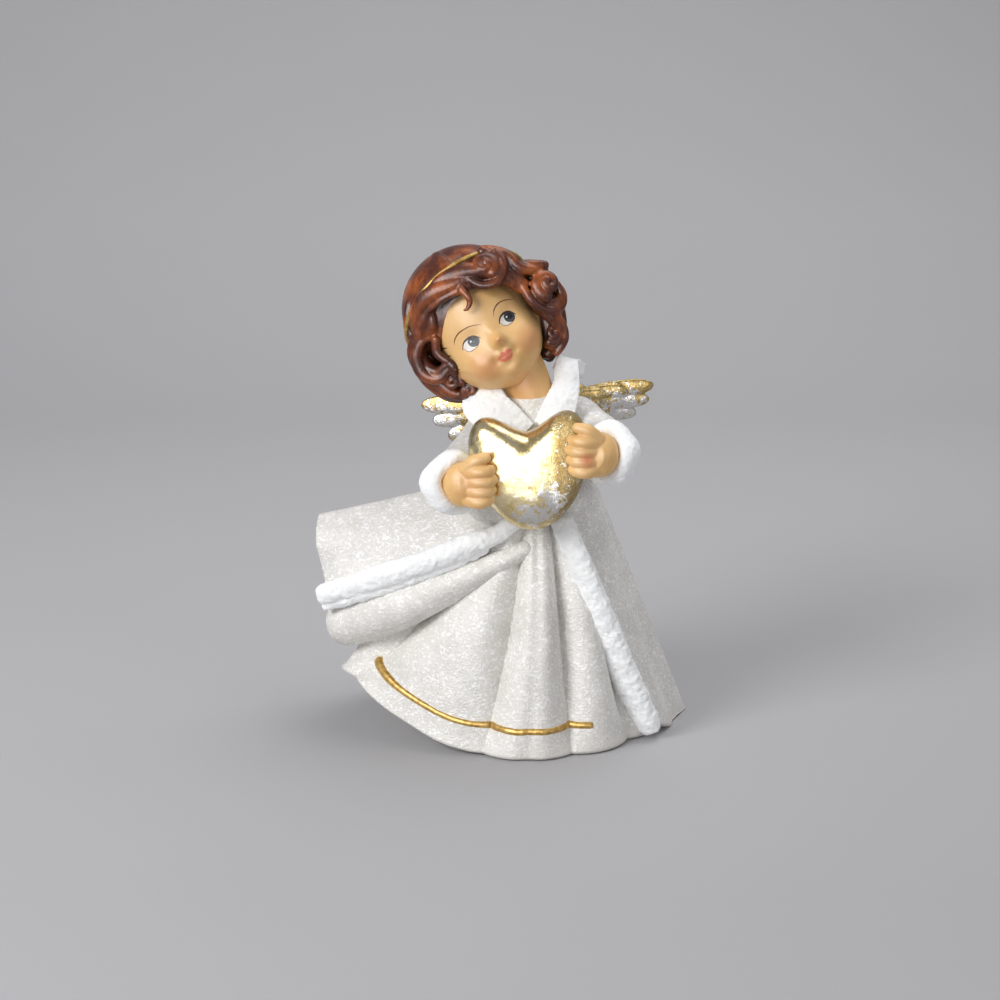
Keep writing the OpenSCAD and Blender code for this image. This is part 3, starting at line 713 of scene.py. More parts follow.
t = np.linspace(0.04, 1.0, 44)
edge = coat_skin(0.966 + 0.026 * t, t, 0.9 + 0 * t) + np.array([0, -1.4, 0.2])
edge = np.vstack([[(-3.6, -13.6, 57.4), (-5.6, -16.4, 56.2)], edge])
trim_left = fur(join("trim", [
    tube(edge + np.array([0, 0, 0.4]), [2.0, 2.8, 3.0, 2.9, 3.0, 2.9, 2.8], 40, flat=((0, 1, 0), 0.74)),
    tube(edge[6:] + np.array([0.3, 0.3, -2.5]), [0.8, 1.3, 1.5, 1.4, 1.6, 1.7, 1.6], 24,
         flat=((0, 1, 0), 0.8))]), 2.4, 0.6)
trim_left.name = "fur edge left"
finish_piece(trim_left, fur_mat, "fur_paint", "fur_trim_left")
trim_right = tube(edge_path(0.0, np.linspace(0.02, 0.985, 46)), [2.4, 2.9, 3.0, 3.1, 3.0, 3.2, 3.1], 40,
                  flat=((0.35, 0.94, 0), 0.66))
inner = tube(edge_path(0.0, np.linspace(0.02, 0.97, 46)) + np.array([-1.3, 2.3, 0]),
             [2.2, 2.8, 3.4, 3.4, 2.8], 32)
trim_right = fur(join("trim", [trim_right, inner]), 2.4, 0.65)
trim_right.name = "fur edge right"
p = get_points(trim_right)
p[:, 2] = np.maximum(p[:, 2], 0.2)
set_points(trim_right, p)
finish_piece(trim_right, fur_mat, "fur_paint", "fur_trim_right")

# %% hem stripe
a = np.linspace(199, 303, 120)
path = skirt_point(a, np.full_like(a, 0.128))
out = np.stack([np.cos(np.radians(a)), np.sin(np.radians(a)), 0 * a], -1)
stripe = tube(path - out * 0.5, [1.35, 0.95, 0.85, 0.9, 0.95, 0.9, 0.95], 24)
rough(stripe, 2.5, 0.2)
stripe.name = "gold hem stripe"
finish_piece(stripe, band_mat, "gold_paint", "hem_band")

# %% collar
def lapel(name, inner, outer, thick):
    def place(u, v):
        a, b = catmull(inner, v), catmull(outer, v)
        q = a * (1 - u)[:, None] + b * u[:, None]
        q[:, 1] -= 1.0 * np.sin(np.pi * u) * 0.8
        return q
    o = sheet(name, 40, 90, place)
    return fur(solid(o, thick, 0.0), 1.5, 0.38)


collar_l = lapel("fur lapel left",
                 [(-9.5, 5, 86), (-9.6, -4, 87.4), (-7.8, -8, 84.6), (-4.2, -9.8, 81.2), (-1.4, -11, 78)],
                 [(-15, 6, 82), (-16.6, -3, 83.6), (-16.8, -8, 79.8), (-12.6, -11.6, 76.4),
                  (-6.4, -13.6, 73)],
                 3.8)
finish_piece(collar_l, fur_mat, "fur_paint", "collar_left")
collar_r = lapel("fur lapel right",
                 [(4.4, 6, 90.4), (4.4, -1.6, 90.8), (4.0, -5, 87.0), (1.6, -8.6, 83.0), (-0.4, -10.8, 78.6)],
                 [(11.6, 6, 88), (9.4, -1.8, 90.2), (9.2, -5.4, 85.4), (8.0, -9.6, 79.8), (5.8, -12.6, 74.6)],
                 3.6)
finish_piece(collar_r, fur_mat, "fur_paint", "collar_right")


# %% cuffs and hands
def turn_to(at, side):
    """Puts a piece made round the Z axis at a wrist, facing the heart."""
    g, q = math.radians(-42 * side), math.radians(82)
    rz = np.array([[math.cos(g), -math.sin(g), 0], [math.sin(g), math.cos(g), 0], [0, 0, 1]])
    rx = np.array([[1, 0, 0], [0, math.cos(q), -math.sin(q)], [0, math.sin(q), math.cos(q)]])
    return lambda p: p @ (rz @ rx).T + at


def cuff(name, at, side):
    clear()
    bpy.ops.mesh.primitive_torus_add(major_segments=96, minor_segments=32, major_radius=1, minor_radius=0.4)
    o = bpy.context.active_object
    o.name = name
    p = raw_points(o) * np.array([5.5, 5.5, 7.4])
    ang = np.arctan2(p[:, 1], p[:, 0])
    p[:, :2] *= (1 + 0.05 * np.sin(3 * ang + 1.3 * side) + 0.03 * np.sin(5 * ang))[:, None]
    p[:, 2] += 0.5 * np.sin(2 * ang + side)
    set_points(o, turn_to(at, side)(p))
    return fur(o, 1.8, 0.3)


finish_piece(cuff("fur cuff left", cuff_left_at, -1), fur_mat, "fur_paint", "cuff_left")
finish_piece(cuff("fur cuff right", cuff_right_at, 1), fur_mat, "fur_paint", "cuff_right")


def hand(name, at, side):
    palm = at + np.array([-side * 3.2, -5.2, 1.0])
    parts = [ball(palm, (4.8, 3.7, 5.4), 40, 28),
             tube([at + np.array([side * 1, 3, -0.4]), at, palm], [3.4, 3.8, 4.2], 24)]
    for i in range(4):
        z = 3.7 - 2.35 * i
        reach = 1 - 0.07 * abs(i - 1.2)
        path = [palm + np.array([-side * 0.6, -1.6, z * 0.85]),
                palm + np.array([-side * 3.2 * reach, -3.3, z]),
                palm + np.array([-side * 5.4 * reach, -3.2, z + 0.15]),
                palm + np.array([-side * 6.6 * reach, -1.6, z + 0.15])]
        parts.append(tube(curve_through(path, 14), [1.8, 1.62, 1.5, 1.25], 20))
    thumb = [palm + np.array([-side * 0.4, -1.4, 3.8]), palm + np.array([-side * 2.6, -2.7, 6.2]),
             palm + np.array([-side * 5.0, -2.6, 6.9])]
    parts.append(tube(curve_through(thumb, 12), [2.0, 1.6, 1.2], 20))
    return remesh(join(name, parts), 0.2, 4)


hand_spots_r = [(tuple(cuff_right_at + [-6.0, -9.6, 0.8]), 2.4, 0.75)]
hand_mat_r = skin_paint("flesh paint, right hand", hand_spots_r)
hand_mat_l = skin_paint("flesh paint, left hand", [(tuple(cuff_left_at + [4.5, -9, 1.5]), 5.0, 0.14)])
finish_piece(hand("painted hand left", cuff_left_at, -1), hand_mat_l, "skin_paint", "hand_left")
finish_piece(hand("painted hand right", cuff_right_at, 1), hand_mat_r, "skin_paint", "hand_right")

# %% heart
heart_at = middle("heart")


def heart_place(u, v):
    a = u * 2 * np.pi
    q = np.pi * v
    s = np.sin(q) ** 0.66
    x = np.sign(np.sin(a)) * np.abs(np.sin(a)) ** np.where(np.cos(a) > 0, 1.7, 0.9)
    z = (13 * np.cos(a) - 5 * np.cos(2 * a) - 2 * np.cos(3 * a) - np.cos(4 * a) + 2.6) / 14.6
    z = z + 0.17 * np.maximum(0, np.cos(a)) ** 12
    y = np.sign(np.cos(q)) * np.abs(np.cos(q)) ** 0.9
    p = np.stack([14 * x * s, 6.5 * y, 13.75 * z * s], -1)
    lean, nod = math.radians(-5), math.radians(-5)
    rx = np.array([[1, 0, 0], [0, math.cos(nod), -math.sin(nod)], [0, math.sin(nod), math.cos(nod)]])
    ry = np.array([[math.cos(lean), 0, math.sin(lean)], [0, 1, 0], [-math.sin(lean), 0, math.cos(lean)]])
    return p @ (ry @ rx).T + np.array([-1.9, -20.3, 69.2])


heart = remesh(sheet("leafed heart", 300, 200, heart_place), 0.3, 5)
rough(heart, 6, 0.22)
heart_mat = leaf_metal("gold and silver leaf on resin, heart",
                       [heart_at + [5.5, -6, -6.5], heart_at + [1.0, -6, -10.0]], 5.5,
                       "#e2d3a9", "#c6ae74", 0.52, crinkle_and_shade_from=3.2)
finish_piece(heart, heart_mat, "gold_leaf", "heart")


# %% wings
def feather(root, tip, wide, thick=1.5):
    root, tip = np.array(root, float), np.array(tip, float)
    length = np.linalg.norm(tip - root)
    d = (tip - root) / length
    flat = np.array([0.0, 1.0, 0.0])
    flat -= d * (flat @ d)
    flat /= np.linalg.norm(flat)
    side = np.cross(d, flat)
    o = ball((0, 0, 0), (1, 1, 1), 40, 28)
    p = get_points(o)
    x = np.clip(p[:, 0], -1, 1)
    w = np.where(x > 0, (1 - np.abs(x) ** 3.2) ** 0.5, (1 - np.abs(x) ** 2) ** 0.5 * (0.82 + 0.18 * (1 + x)))
    rr = np.maximum(np.sqrt(p[:, 1] ** 2 + p[:, 2] ** 2), 1e-9)
    c, s = p[:, 2] / rr, p[:, 1] / rr
    q = (root + tip) / 2 + d * (x * length / 2)[:, None]
    q = q + side * (c * w * wide / 2)[:, None] + flat * (s * w * thick / 2)[:, None]
    q += flat * (0.7 * x ** 2)[:, None]
    set_points(o, q)
    return o


def wing(name, side, root, tips, wide):
    parts = []
    root = np.array(root, float)
    for row, (reach, fwd) in enumerate(((1.0, 0.0), (0.70, -0.9), (0.44, -1.7))):
        for i, tip in enumerate(tips):
            t = np.array(tip, float)
            q = root + (t - root) * reach + np.array([0, fwd, 0])
            start = root + np.array([0, fwd, 1.6 - 1.4 * i])
            parts.append(feather(start, q, wide * (1 - 0.12 * row), 1.5))
    parts.append(ball(root + np.array([side * 1.0, -0.4, 0]), (3.4, 2.4, 4.6), 32, 24))
    parts.append(tube([root, root + np.array([-side * 0.5, -8, 0])], [2.4, 2.6], 20))
    return remesh(join(name, parts), 0.24, 3)


wing_l = wing("leafed wing left", -1, (-9, 13.4, 77),
              [(-28.8, 14.6, 77.4), (-26.0, 14.6, 73.2), (-22.0, 14.4, 69)], 5.0)
wing_r = wing("leafed wing right", 1, (9, 13.4, 79),
              [(29.4, 14.6, 82.6), (28.4, 14.6, 79), (25.2, 14.6, 75.4), (21.4, 14.4, 71)], 4.6)
wing_mat = leaf_metal("gold and silver leaf on resin, wings", [(22, 12, 76), (-24, 12, 73)], 8.0,
                      "#bda66f", "#a98d55", 0.50)
finish_piece(wing_l, wing_mat, "gold_leaf", "wing_left")
finish_piece(wing_r, wing_mat, "gold_leaf", "wing_right")

# %% [markdown]
# ## Head
#
# Head pieces are made looking straight ahead with the middle of the skull at zero, then tilted.

# %% head frame
def rot(axis, degrees):
    c, s = math.cos(math.radians(degrees)), math.sin(math.radians(degrees))
    if axis == "x":
        return np.array([[1, 0, 0], [0, c, -s], [0, s, c]])
    if axis == "y":
        return np.array([[c, 0, s], [0, 1, 0], [-s, 0, c]])
    return np.array([[c, -s, 0], [s, c, 0], [0, 0, 1]])


HEAD = rot("y", -33) @ rot("z", 12) @ rot("x", -6)
head_at = np.array([-13.6, -0.5, 100.6])
print("head box centre to head point:", (head_at - middle("head")).round(2))


def to_head(p):
    return np.asarray(p, float) @ HEAD.T + head_at


def place_head(o):
    set_points(o, to_head(get_points(o)))
    return o


neck_path = [(-1.2, -3.4, 76), (-1.4, -3.6, 82.5), (-2.2, -3.8, 86), (-4.6, -3, 90.5), (-8.0, -1.5, 95)]
neck = tube(curve_through(neck_path, 24), [5.6, 5.5, 5.6, 6.2, 7.0], 64)
# the coral spot on the front of the neck, under the chin, is painted shade
skin_plain = skin_paint("flesh paint, neck", [((-3.0, -9.5, 87.0), 5.0, 0.25)])
neck.name = "flesh neck"
finish_piece(remesh(neck, 0.3, 4), skin_plain, "skin_paint", "neck")


# %% face
def push(p, at, size, amount, direction):
    """Moves the clay near a point along a direction."""
    d2 = np.sum((p - np.array(at, float)) ** 2, axis=1)
    k = np.array(direction, float)
    k /= np.linalg.norm(k)
    return p + np.exp(-d2 / size ** 2)[:, None] * k * amount


def reach(d, centre, radii):
    """How far from zero a ray runs before it leaves an ellipsoid that holds zero."""
    c, r = np.array(centre, float), np.array(radii, float)
    a = np.sum((d / r) ** 2, axis=1)
    b = -2 * np.sum(d * c / r ** 2, axis=1)
    k = np.sum((c / r) ** 2) - 1
    return (-b + np.sqrt(np.maximum(b * b - 4 * a * k, 0))) / (2 * a)


face = ball((0, 0, 0), (1, 1, 1), 320, 220)
d = get_points(face)
skull = reach(d, (0, 1.2, 1.6), (13.6, 14.2, 13.8))
jaw = reach(d, (-0.2, -3.6, -6.4), (11.6, 10.2, 10.0))
p = d * ((skull ** 12 + jaw ** 12) ** (1 / 12) - 0.35)[:, None]
for side in (-1, 1):
    p = push(p, (side * 6.6, -11.4, -8.0), 4.6, 1.5, (side * 0.5, -0.85, -0.1))
    p = push(p, (side * 5.2, -12.8, -2.2), 2.6, -0.75, (0, -1, 0))
    p = push(p, (side * 5.2, -12.6, 1.2), 2.2, 0.25, (0, -1, 0))
    p = push(p, (side * 1.3 - 0.3, -14.6, -5.2), 0.95, 0.55, (side * 0.5, -1, 0))
    p = push(p, (side * 1.1 - 0.7, -14.2, -7.9), 0.9, 0.55, (0, -1, 0.1))
    p = push(p, (side * 2.6 - 0.7, -13.4, -8.8), 1.1, -0.45, (0, -1, 0))
p = push(p, (-0.3, -14.0, -4.7), 1.4, 2.9, (0, -1, 0.12))
p = push(p, (-0.2, -13.8, -2.0), 1.5, 0.7, (0, -1, 0))
p = push(p, (-0.8, -14.0, -9.5), 1.1, 0.7, (0, -1, -0.1))
p = push(p, (-0.8, -13.6, -11.0), 1.3, -0.6, (0, -1, 0))
p = push(p, (-0.8, -12.0, -12.9), 2.4, 1.3, (0, -0.9, -0.35))
p = push(p, (-0.8, -10.2, -15.0), 1.6, -0.5, (0, -0.5, -0.9))
p = push(p, (-0.8, -7.0, -16.6), 3.6, 1.2, (0, -0.4, -0.9))
p = push(p, (0, -12.0, 6.0), 6.0, 0.5, (0, -1, 0.2))
p = push(p, (-12.4, -5.0, -6.6), 1.9, 1.5, (-1, -0.2, 0))
p = push(p, (-12.9, -5.4, -6.6), 0.8, -0.6, (-1, -0.2, 0))
p = push(p, (12.2, -5.0, -6.6), 1.9, 1.5, (1, -0.2, 0))
set_points(face, p)
tidy(face)
face_local = get_points(face)
polys = [tuple(q.vertices) for q in face.data.polygons]
face_tree = BVHTree.FromPolygons([tuple(v) for v in face_local], polys)
face = place_head(face)
face.name = "head"
# coral spots: blush on the cheeks, nose, chin and ear; the last one, under the jaw, is painted shade
spots = [(tuple(to_head((-6.0, -12.6, -8.8))), 5.2, 0.38), (tuple(to_head((6.6, -12.6, -8.8))), 4.8, 0.36),
         (tuple(to_head((-0.4, -16.2, -5))), 2.0, 0.22), (tuple(to_head((-0.8, -12.5, -13.4))), 2.6, 0.18),
         (tuple(to_head((-12.5, -5, -7))), 3.6, 0.40), (tuple(to_head((-0.8, -8, -16.4))), 5.0, 0.22)]
face_mat = skin_paint("flesh paint, face", spots)
finish_piece(face, face_mat, "skin_paint", "head")


def on_face(x, z, raise_by):
    """The point of the face straight behind (x, z), lifted a little toward the viewer."""
    hit = face_tree.ray_cast(Vector((x, -40, z)), Vector((0, 1, 0)))[0]
    y = hit.y if hit is not None else -13.5
    return (x, y - raise_by, z)


def dab(name, outline, raise_by, mat, rings=7):
    """A thin patch of paint on the face, inside a closed outline of (x, z) points."""
    o = np.array(outline, float)
    n = 64
    t = np.linspace(0, 1, n, endpoint=False)
    m = len(o)
    i = (t * m).astype(int)
    rim = spline(o[(i - 1) % m], o[i % m], o[(i + 1) % m], o[(i + 2) % m], (t * m - i)[:, None])
    centre = rim.mean(axis=0)

    def place(u, v):
        k = (u * n + 0.5).astype(int) % n
        q = centre + (rim[k] - centre) * v[:, None]
        return np.array([on_face(x, z, raise_by * (0.4 if w > 0.93 else 1)) for (x, z), w in zip(q, v)])

    return finish_piece(place_head(sheet(name, n, rings, place)), mat, "skin_paint")


def stroke(name, points, widths, raise_by, mat):
    """A brush line on the face through (x, z) points."""
    flat = curve_through([(x, 0, z) for x, z in points], 40)
    path = np.array([on_face(x, z, raise_by) for x, _, z in flat])
    o = tube(path, widths, 10, flat=((0, 1, 0), 0.35))
    o.name = name
    return finish_piece(place_head(o), mat, "hair_paint")


# %% painted eyes, brows and lips
white_mat = plain_paint("eye white paint", "#ebe4dc", "#d8d0c6", 0.5)
iris_mat = plain_paint("blue grey iris paint", "#38434b", "#232b31", 0.5)
pupil_mat = plain_paint("black pupil paint", "#15110f", "#0b0908", 0.4)
glint_mat = plain_paint("white dot paint", "#ffffff", "#f2f2f2", 0.2)
line_mat = plain_paint("dark brown line paint", "#3d2013", "#27130b", 0.45)
brow_mat = plain_paint("light brown line paint", "#7a4a26", "#5d3418", 0.5)
lip_mat = plain_paint("coral lip paint", "#ee8a6c", "#dd6f55", 0.36)
EYES = {
    "left": ([(-7.7, -1.9), (-6.9, -1.1), (-5.6, -0.75), (-4.4, -1.0), (-3.5, -2.2), (-4.3, -3.1),
              (-5.8, -3.6), (-7.2, -3.3)],
             (-5.0, -2.0), [(-8.0, -2.2), (-6.9, -1.0), (-5.6, -0.65), (-4.3, -0.9), (-3.2, -2.1)]),
    "right": ([(2.6, -1.7), (3.4, -0.9), (4.6, -0.6), (5.9, -1.0), (6.7, -2.3), (5.9, -3.1), (4.4, -3.4),
               (3.0, -2.9)],
              (5.2, -1.95), [(2.3, -1.9), (3.3, -0.85), (4.6, -0.5), (5.9, -0.85), (7.0, -2.3)]),
}


def disc(cx, cz, r, n=12):
    turn = np.linspace(0, 2 * math.pi, n, endpoint=False)
    return [(cx + r * math.cos(w), cz + r * math.sin(w)) for w in turn]


for which, (almond, (ix, iz), lash) in EYES.items():
    dab("eye white " + which, almond, 0.05, white_mat)
    dab("iris " + which, disc(ix + 0.1, iz + 0.08, 1.36), 0.09, iris_mat)
    dab("pupil " + which, disc(ix + 0.25, iz + 0.2, 0.82), 0.13, pupil_mat)
    dab("glint " + which, disc(ix - 0.45, iz + 0.35, 0.22, 8), 0.17, glint_mat)
    stroke("upper lash " + which, lash, [0.08, 0.2, 0.24, 0.2, 0.08], 0.05, line_mat)
    lower = [almond[0], almond[7], almond[6], almond[5], almond[4]]
    stroke("lower lash " + which, lower, [0.03, 0.06, 0.07, 0.07, 0.03], 0.04, brow_mat)
stroke("brow left", [(-8.9, -0.2), (-8.0, 0.9), (-6.3, 1.6), (-3.6, 1.4), (-1.3, 0.3)],
       [0.04, 0.13, 0.15, 0.10, 0.03], 0.02, brow_mat)
stroke("brow right", [(2.2, 0.3), (3.0, 1.4), (4.6, 2.1), (6.4, 1.9), (8.6, 0.9)],
       [0.03, 0.12, 0.15, 0.12, 0.04], 0.02, brow_mat)
dab("upper lip", [(-2.8, -8.75), (-2.0, -8.0), (-1.2, -7.55), (-0.7, -7.85), (-0.1, -7.5), (0.6, -7.85),
                  (1.3, -8.5), (0.3, -8.8), (-0.9, -8.85), (-1.9, -8.9)], 0.05, lip_mat)
dab("lower lip", [(-2.4, -9.0), (-1.2, -9.0), (0.5, -8.95), (1.0, -8.9), (0.9, -9.5), (0.1, -10.0),
                  (-0.9, -10.1), (-1.9, -9.75)], 0.05, lip_mat)


# %% [markdown]
# ## Hair
#
# Thick locks of clay: each lock is a bundle of strands along a curved path, and all of them are remeshed
# together with a smooth dome, so that deep grooves are left for the dark wash and the painted shade. Points
# are in head millimetres.

# %% hair
def lock(path, radii, strands=3, twist=0.35, spread=0.44, n=30, fat=0.68):
    """A bundle of strands that twist round each other along a path."""
    path = curve_through(path, n)
    t = np.linspace(0, 1, n)
    r = np.interp(t, np.linspace(0, 1, len(radii)), radii)
    tangent = np.gradient(path, axis=0)
    tangent /= np.maximum(np.linalg.norm(tangent, axis=1), 1e-9)[:, None]
    up = np.array([0.1, -0.9, 0.3])
    a = []
    for d in tangent:
        up = up - d * (up @ d)
        up /= max(np.linalg.norm(up), 1e-9)
        a.append(up)
    a = np.array(a)
    b = np.cross(tangent, a)
    out = []
    for k in range(strands):
        w = 2 * np.pi * k / strands + twist * 2 * np.pi * t
        q = path + (a * np.cos(w)[:, None] + b * np.sin(w)[:, None]) * (r * spread)[:, None]
        out.append(tube(q, list(r * fat), 14))
    return out


def strand(path, radii, n):
    """One plain strand."""
    return lock(path, radii, strands=1, twist=0, spread=0, n=n, fat=1.0)


def spiral(at, radius, axis, turns=1.5, thick=0.34, start=0.0, lean=0.45, hand=1):
    """A rolled curl: a strand that winds in toward its middle, and rises as it goes."""
    axis = np.array(axis, float)
    axis /= np.linalg.norm(axis)
    a = np.cross(axis, [0.1, 0.2, 1.0])
    a /= np.linalg.norm(a)
    b = np.cross(axis, a)
    pts, rad = [], []
    for k in np.linspace(0, 1, 22):
        w = start + hand * k * turns * 2 * np.pi
        rr = radius * (1 - thick) * (1 - 0.80 * k)
        pts.append(np.array(at) + (a * math.cos(w) + b * math.sin(w)) * rr
                   + axis * lean * radius * (k - 0.35))
        rad.append(radius * thick * (1 - 0.55 * k))
    return [tube(curve_through(pts, 60), rad, 16)]


# %% hair over the crown
hair_parts = [ball((-0.5, 2.8, 5.4), (15.4, 13.8, 14.8), 72, 44),
              ball((0.4, -0.6, 7.0), (12.0, 10.7, 10.4), 64, 40)]
# a few broad strands from the crown down to the band
for k in (-3, -1.5, 0, 1.5, 3):
    w = k * 0.3
    hair_parts += strand([(0.3 + 2.5 * w, 5, 18.4),
                          (0.1 + 9.5 * math.sin(w), -0.5 - 1.0 * math.cos(w), 18.2 - 4.2 * abs(w)),
                          (0.1 + 14.2 * math.sin(w), -1.5 - 7.6 * math.cos(w), 15.0 - 5.2 * abs(w))],
                         [1.4, 2.0, 1.2], 16)

# %% hair roll along the hairline
hair_parts += lock([(-13.2, -5.2, 6.4), (-11.4, -7.2, 9.6), (-8.2, -9.2, 12.2), (-3.4, -11.2, 12.6),
                    (2.0, -12.0, 11.8), (6.4, -12.0, 9.6), (9.6, -11.4, 6.4), (12.0, -10.2, 2.2)],
                   [2.0, 2.5, 2.6, 2.7, 2.7, 2.6, 2.3, 1.8], twist=0.8, spread=0.40, n=60, fat=0.76)
hair_parts += lock([(-9.6, -9.6, 9.6), (-5.5, -11.8, 10.4), (-1.0, -12.9, 10.2), (2.6, -13.2, 9.6)],
                   [0.9, 1.3, 1.4, 1.0], strands=2, twist=0.3)

# %% two rolled curls and the wave between them
hair_parts += spiral((6.8, -13.4, 11.2), 4.1, (0.15, -0.9, 0.40), turns=1.3, thick=0.40, start=2.0)
hair_parts += lock([(1.6, -12.8, 12.4), (3.4, -13.6, 8.2), (7.0, -13.9, 6.8), (10.2, -13.0, 9.0),
                    (10.6, -12.2, 12.2)], [1.2, 1.4, 1.5, 1.5, 1.2], strands=2, twist=0.3)
hair_parts += lock([(8.6, -9.6, 13.8), (11.6, -10.4, 10.2), (13.2, -10.4, 6.4), (16.0, -9.6, 4.4),
                    (19.0, -8.0, 3.0)], [2.0, 2.3, 2.1, 2.0, 1.6], twist=0.6)
hair_parts += spiral((17.0, -10.8, -0.6), 4.5, (0.40, -0.95, 0.15),
                     turns=1.4, thick=0.38, start=1.0, lean=0.5, hand=-1)
hair_parts += lock([(11.8, -10.8, 3.0), (12.0, -10.8, -1.6), (13.8, -10.0, -5.0), (16.8, -8.8, -6.2),
                    (19.0, -7.8, -4.8), (19.4, -8.2, -2.0)],
                   [1.5, 1.7, 1.7, 1.7, 1.5, 1.2], strands=2, twist=0.4)

# %% hair on the right, down past the cheek
hair_parts += lock([(14.2, -3.6, 5.8), (16.0, -5.0, 1.4), (15.4, -5.4, -5.0), (13.0, -5.6, -9.6),
                    (10.8, -5.4, -13.2)], [2.6, 2.8, 2.8, 2.5, 1.9])
hair_parts += lock([(12.2, -9.6, -4.6), (13.6, -8.8, -7.4), (14.4, -7.4, -10.2), (13.2, -6.4, -13.2),
                    (10.4, -5.4, -15.2)], [1.5, 1.8, 1.8, 1.8, 1.3], strands=2, twist=0.5)
hair_parts += spiral((12.0, -7.9, -11.4), 3.0, (0.45, -1, 0.0), turns=1.4, start=0.6)
hair_parts += lock([(14.6, 2, 4), (16.4, 2, -5), (13.4, 1.6, -12), (9.0, 0, -15.0)], [3.2, 3.2, 3.0, 2.0])

# %% hair on the left: strand over the temple, small open curl, big hooked lock
hair_parts += lock([(-7.0, -0.6, 15.2), (-11.0, -1.2, 12.4), (-13.6, -1.8, 8.4), (-14.6, -3.0, 4.8)],
                   [1.8, 2.3, 2.4, 2.0], twist=0.3)
hair_parts += strand([(-9.2, -7.6, 11.6), (-9.4, -8.6, 8.8), (-10.6, -8.2, 6.2), (-12.6, -6.4, 5.6)],
                     [1.0, 1.15, 1.1, 0.9], 24)
hair_parts += strand([(-10.4, -6.2, 12.0), (-12.8, -5.2, 10.2), (-13.6, -4.8, 7.4), (-12.6, -5.8, 5.2)],
                     [1.2, 1.5, 1.5, 1.1], 24)
hair_parts += lock([(-10.9, -6.8, 4.6), (-13.8, -5.0, 5.4), (-16.8, -3.2, 3.0), (-17.6, -2.8, -1.2),
                    (-15.6, -4.4, -4.2), (-12.6, -6.6, -3.4)], [1.3, 1.9, 2.3, 2.4, 2.1, 1.2], twist=0.5)
hair_parts += strand([(-11.6, -7.4, 3.4), (-13.0, -6.4, 0.4), (-12.2, -7.2, -2.4)],
                     [1.0, 1.2, 0.9], 20)
hair_parts += lock([(-13.4, 1, 8), (-16.0, 0.8, 2), (-16.6, 0.6, -3.6), (-15.0, 0.0, -8.8),
                    (-11.8, -1.2, -12.0)], [2.6, 2.7, 2.7, 2.5, 1.8], twist=0.5)
hair_parts += spiral((-13.6, -5.0, -7.2), 3.0, (-0.35, -1, 0.05), thick=0.33, start=2.4)
hair_parts += spiral((-11.4, -3.6, -11.2), 2.6, (-0.2, -1, -0.1),
                     turns=1.3, thick=0.36, start=0.4, lean=0.4, hand=-1)
hair_parts += strand([(-12.4, -6.6, -1.8), (-11.8, -7.2, -4.0), (-12.4, -6.8, -6.0)],
                     [0.9, 1.1, 0.9], 20)
hair_parts += lock([(-14, 5, 4), (-16, 6, -3), (-14, 6.4, -9), (-10, 6, -13)], [3.0, 3.1, 3.0, 2.2])

# %% long waves at the back, from the crown to the nape
for k, x in enumerate((-11.6, -7.2, -2.6, 2.6, 7.2, 11.6)):
    hair_parts += lock([(x * 0.45, 10.6, 15.5), (x * 0.85, 14.6, 9),
                        (x * 1.0 + 0.9 * (-1) ** k, 15.4, 1.5), (x * 1.05 - 0.9 * (-1) ** k, 13.6, -6),
                        (x * 0.85, 9.6, -12)], [1.5, 2.6, 2.9, 2.8, 1.9])

# %% the thin lock that falls on the forehead
hair_parts += strand([(-0.2, -12.6, 11.0), (-0.7, -14.0, 9.4), (-0.5, -14.6, 7.6), (-0.7, -14.5, 6.2),
                      (-2.0, -14.3, 5.2), (-3.0, -14.1, 5.3)],
                     [1.2, 1.0, 0.85, 0.75, 0.5, 0.25], 30)
print("strands and curls:", len(hair_parts))
hair = remesh(join("hair", hair_parts), 0.25, 3)
lighten(place_head(hair))
finish_piece(hair, hair_mat, "hair_paint", "hair_cap", "hair_front", "hair_left", "hair_right", "forelock")
stroke_mat = plain_paint("brown brush strokes at the hairline", "#6b3a22", "#4a2416", 0.45)
hairline = ((-8.4, 9.2), (-9.6, 6.6), (-10.2, 4.6), (-10.8, 2.8), (-11.0, 0.6), (-11.2, -1.4), (-11.3, -3.4),
            (-11.4, -5.2))
for k, (x, z) in enumerate(hairline):
    stroke("hairline stroke %d" % k, [(x - 0.9, z + 0.3), (x - 0.2, z - 0.1), (x + 0.5, z - 0.5)],
           [0.26, 0.2, 0.05], 0.03, stroke_mat)

# %% hairband
clear()
bpy.ops.mesh.primitive_torus_add(major_segments=160, minor_segments=12, major_radius=1, minor_radius=0.034)
band = bpy.context.active_object
band.name = "gold hairband"
p = raw_points(band) * 16.7
p = p @ rot("x", -36).T + np.array([0.0, 1.5, 5.5])
set_points(band, to_head(p))
finish_piece(band, band_mat, "gold_paint", "hairband")

# %% felt foot
clear()
a0, b0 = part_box("felt_pad")
bpy.ops.mesh.primitive_cylinder_add(vertices=128, radius=(b0[0] - a0[0]) / 2, depth=b0[2] - a0[2],
                                    location=((a0[0] + b0[0]) / 2, (a0[1] + b0[1]) / 2, (a0[2] + b0[2]) / 2))
pad = bpy.context.active_object
bpy.ops.object.transform_apply(location=True, rotation=True, scale=True)
pad.name = "felt foot"
felt_mat = plain_paint("dark green felt", "#2f3d30", "#1f2a20", 0.95, 0.0, 3.0)
finish_piece(pad, felt_mat, "felt", "felt_pad")

# %% floor, light and camera
BACKDROP_WIDE, BACKDROP_LONG = 7000, 5400
BACKDROP_FRONT, BACKDROP_FLAT, BACKDROP_BEND = -3400, 3750, 420


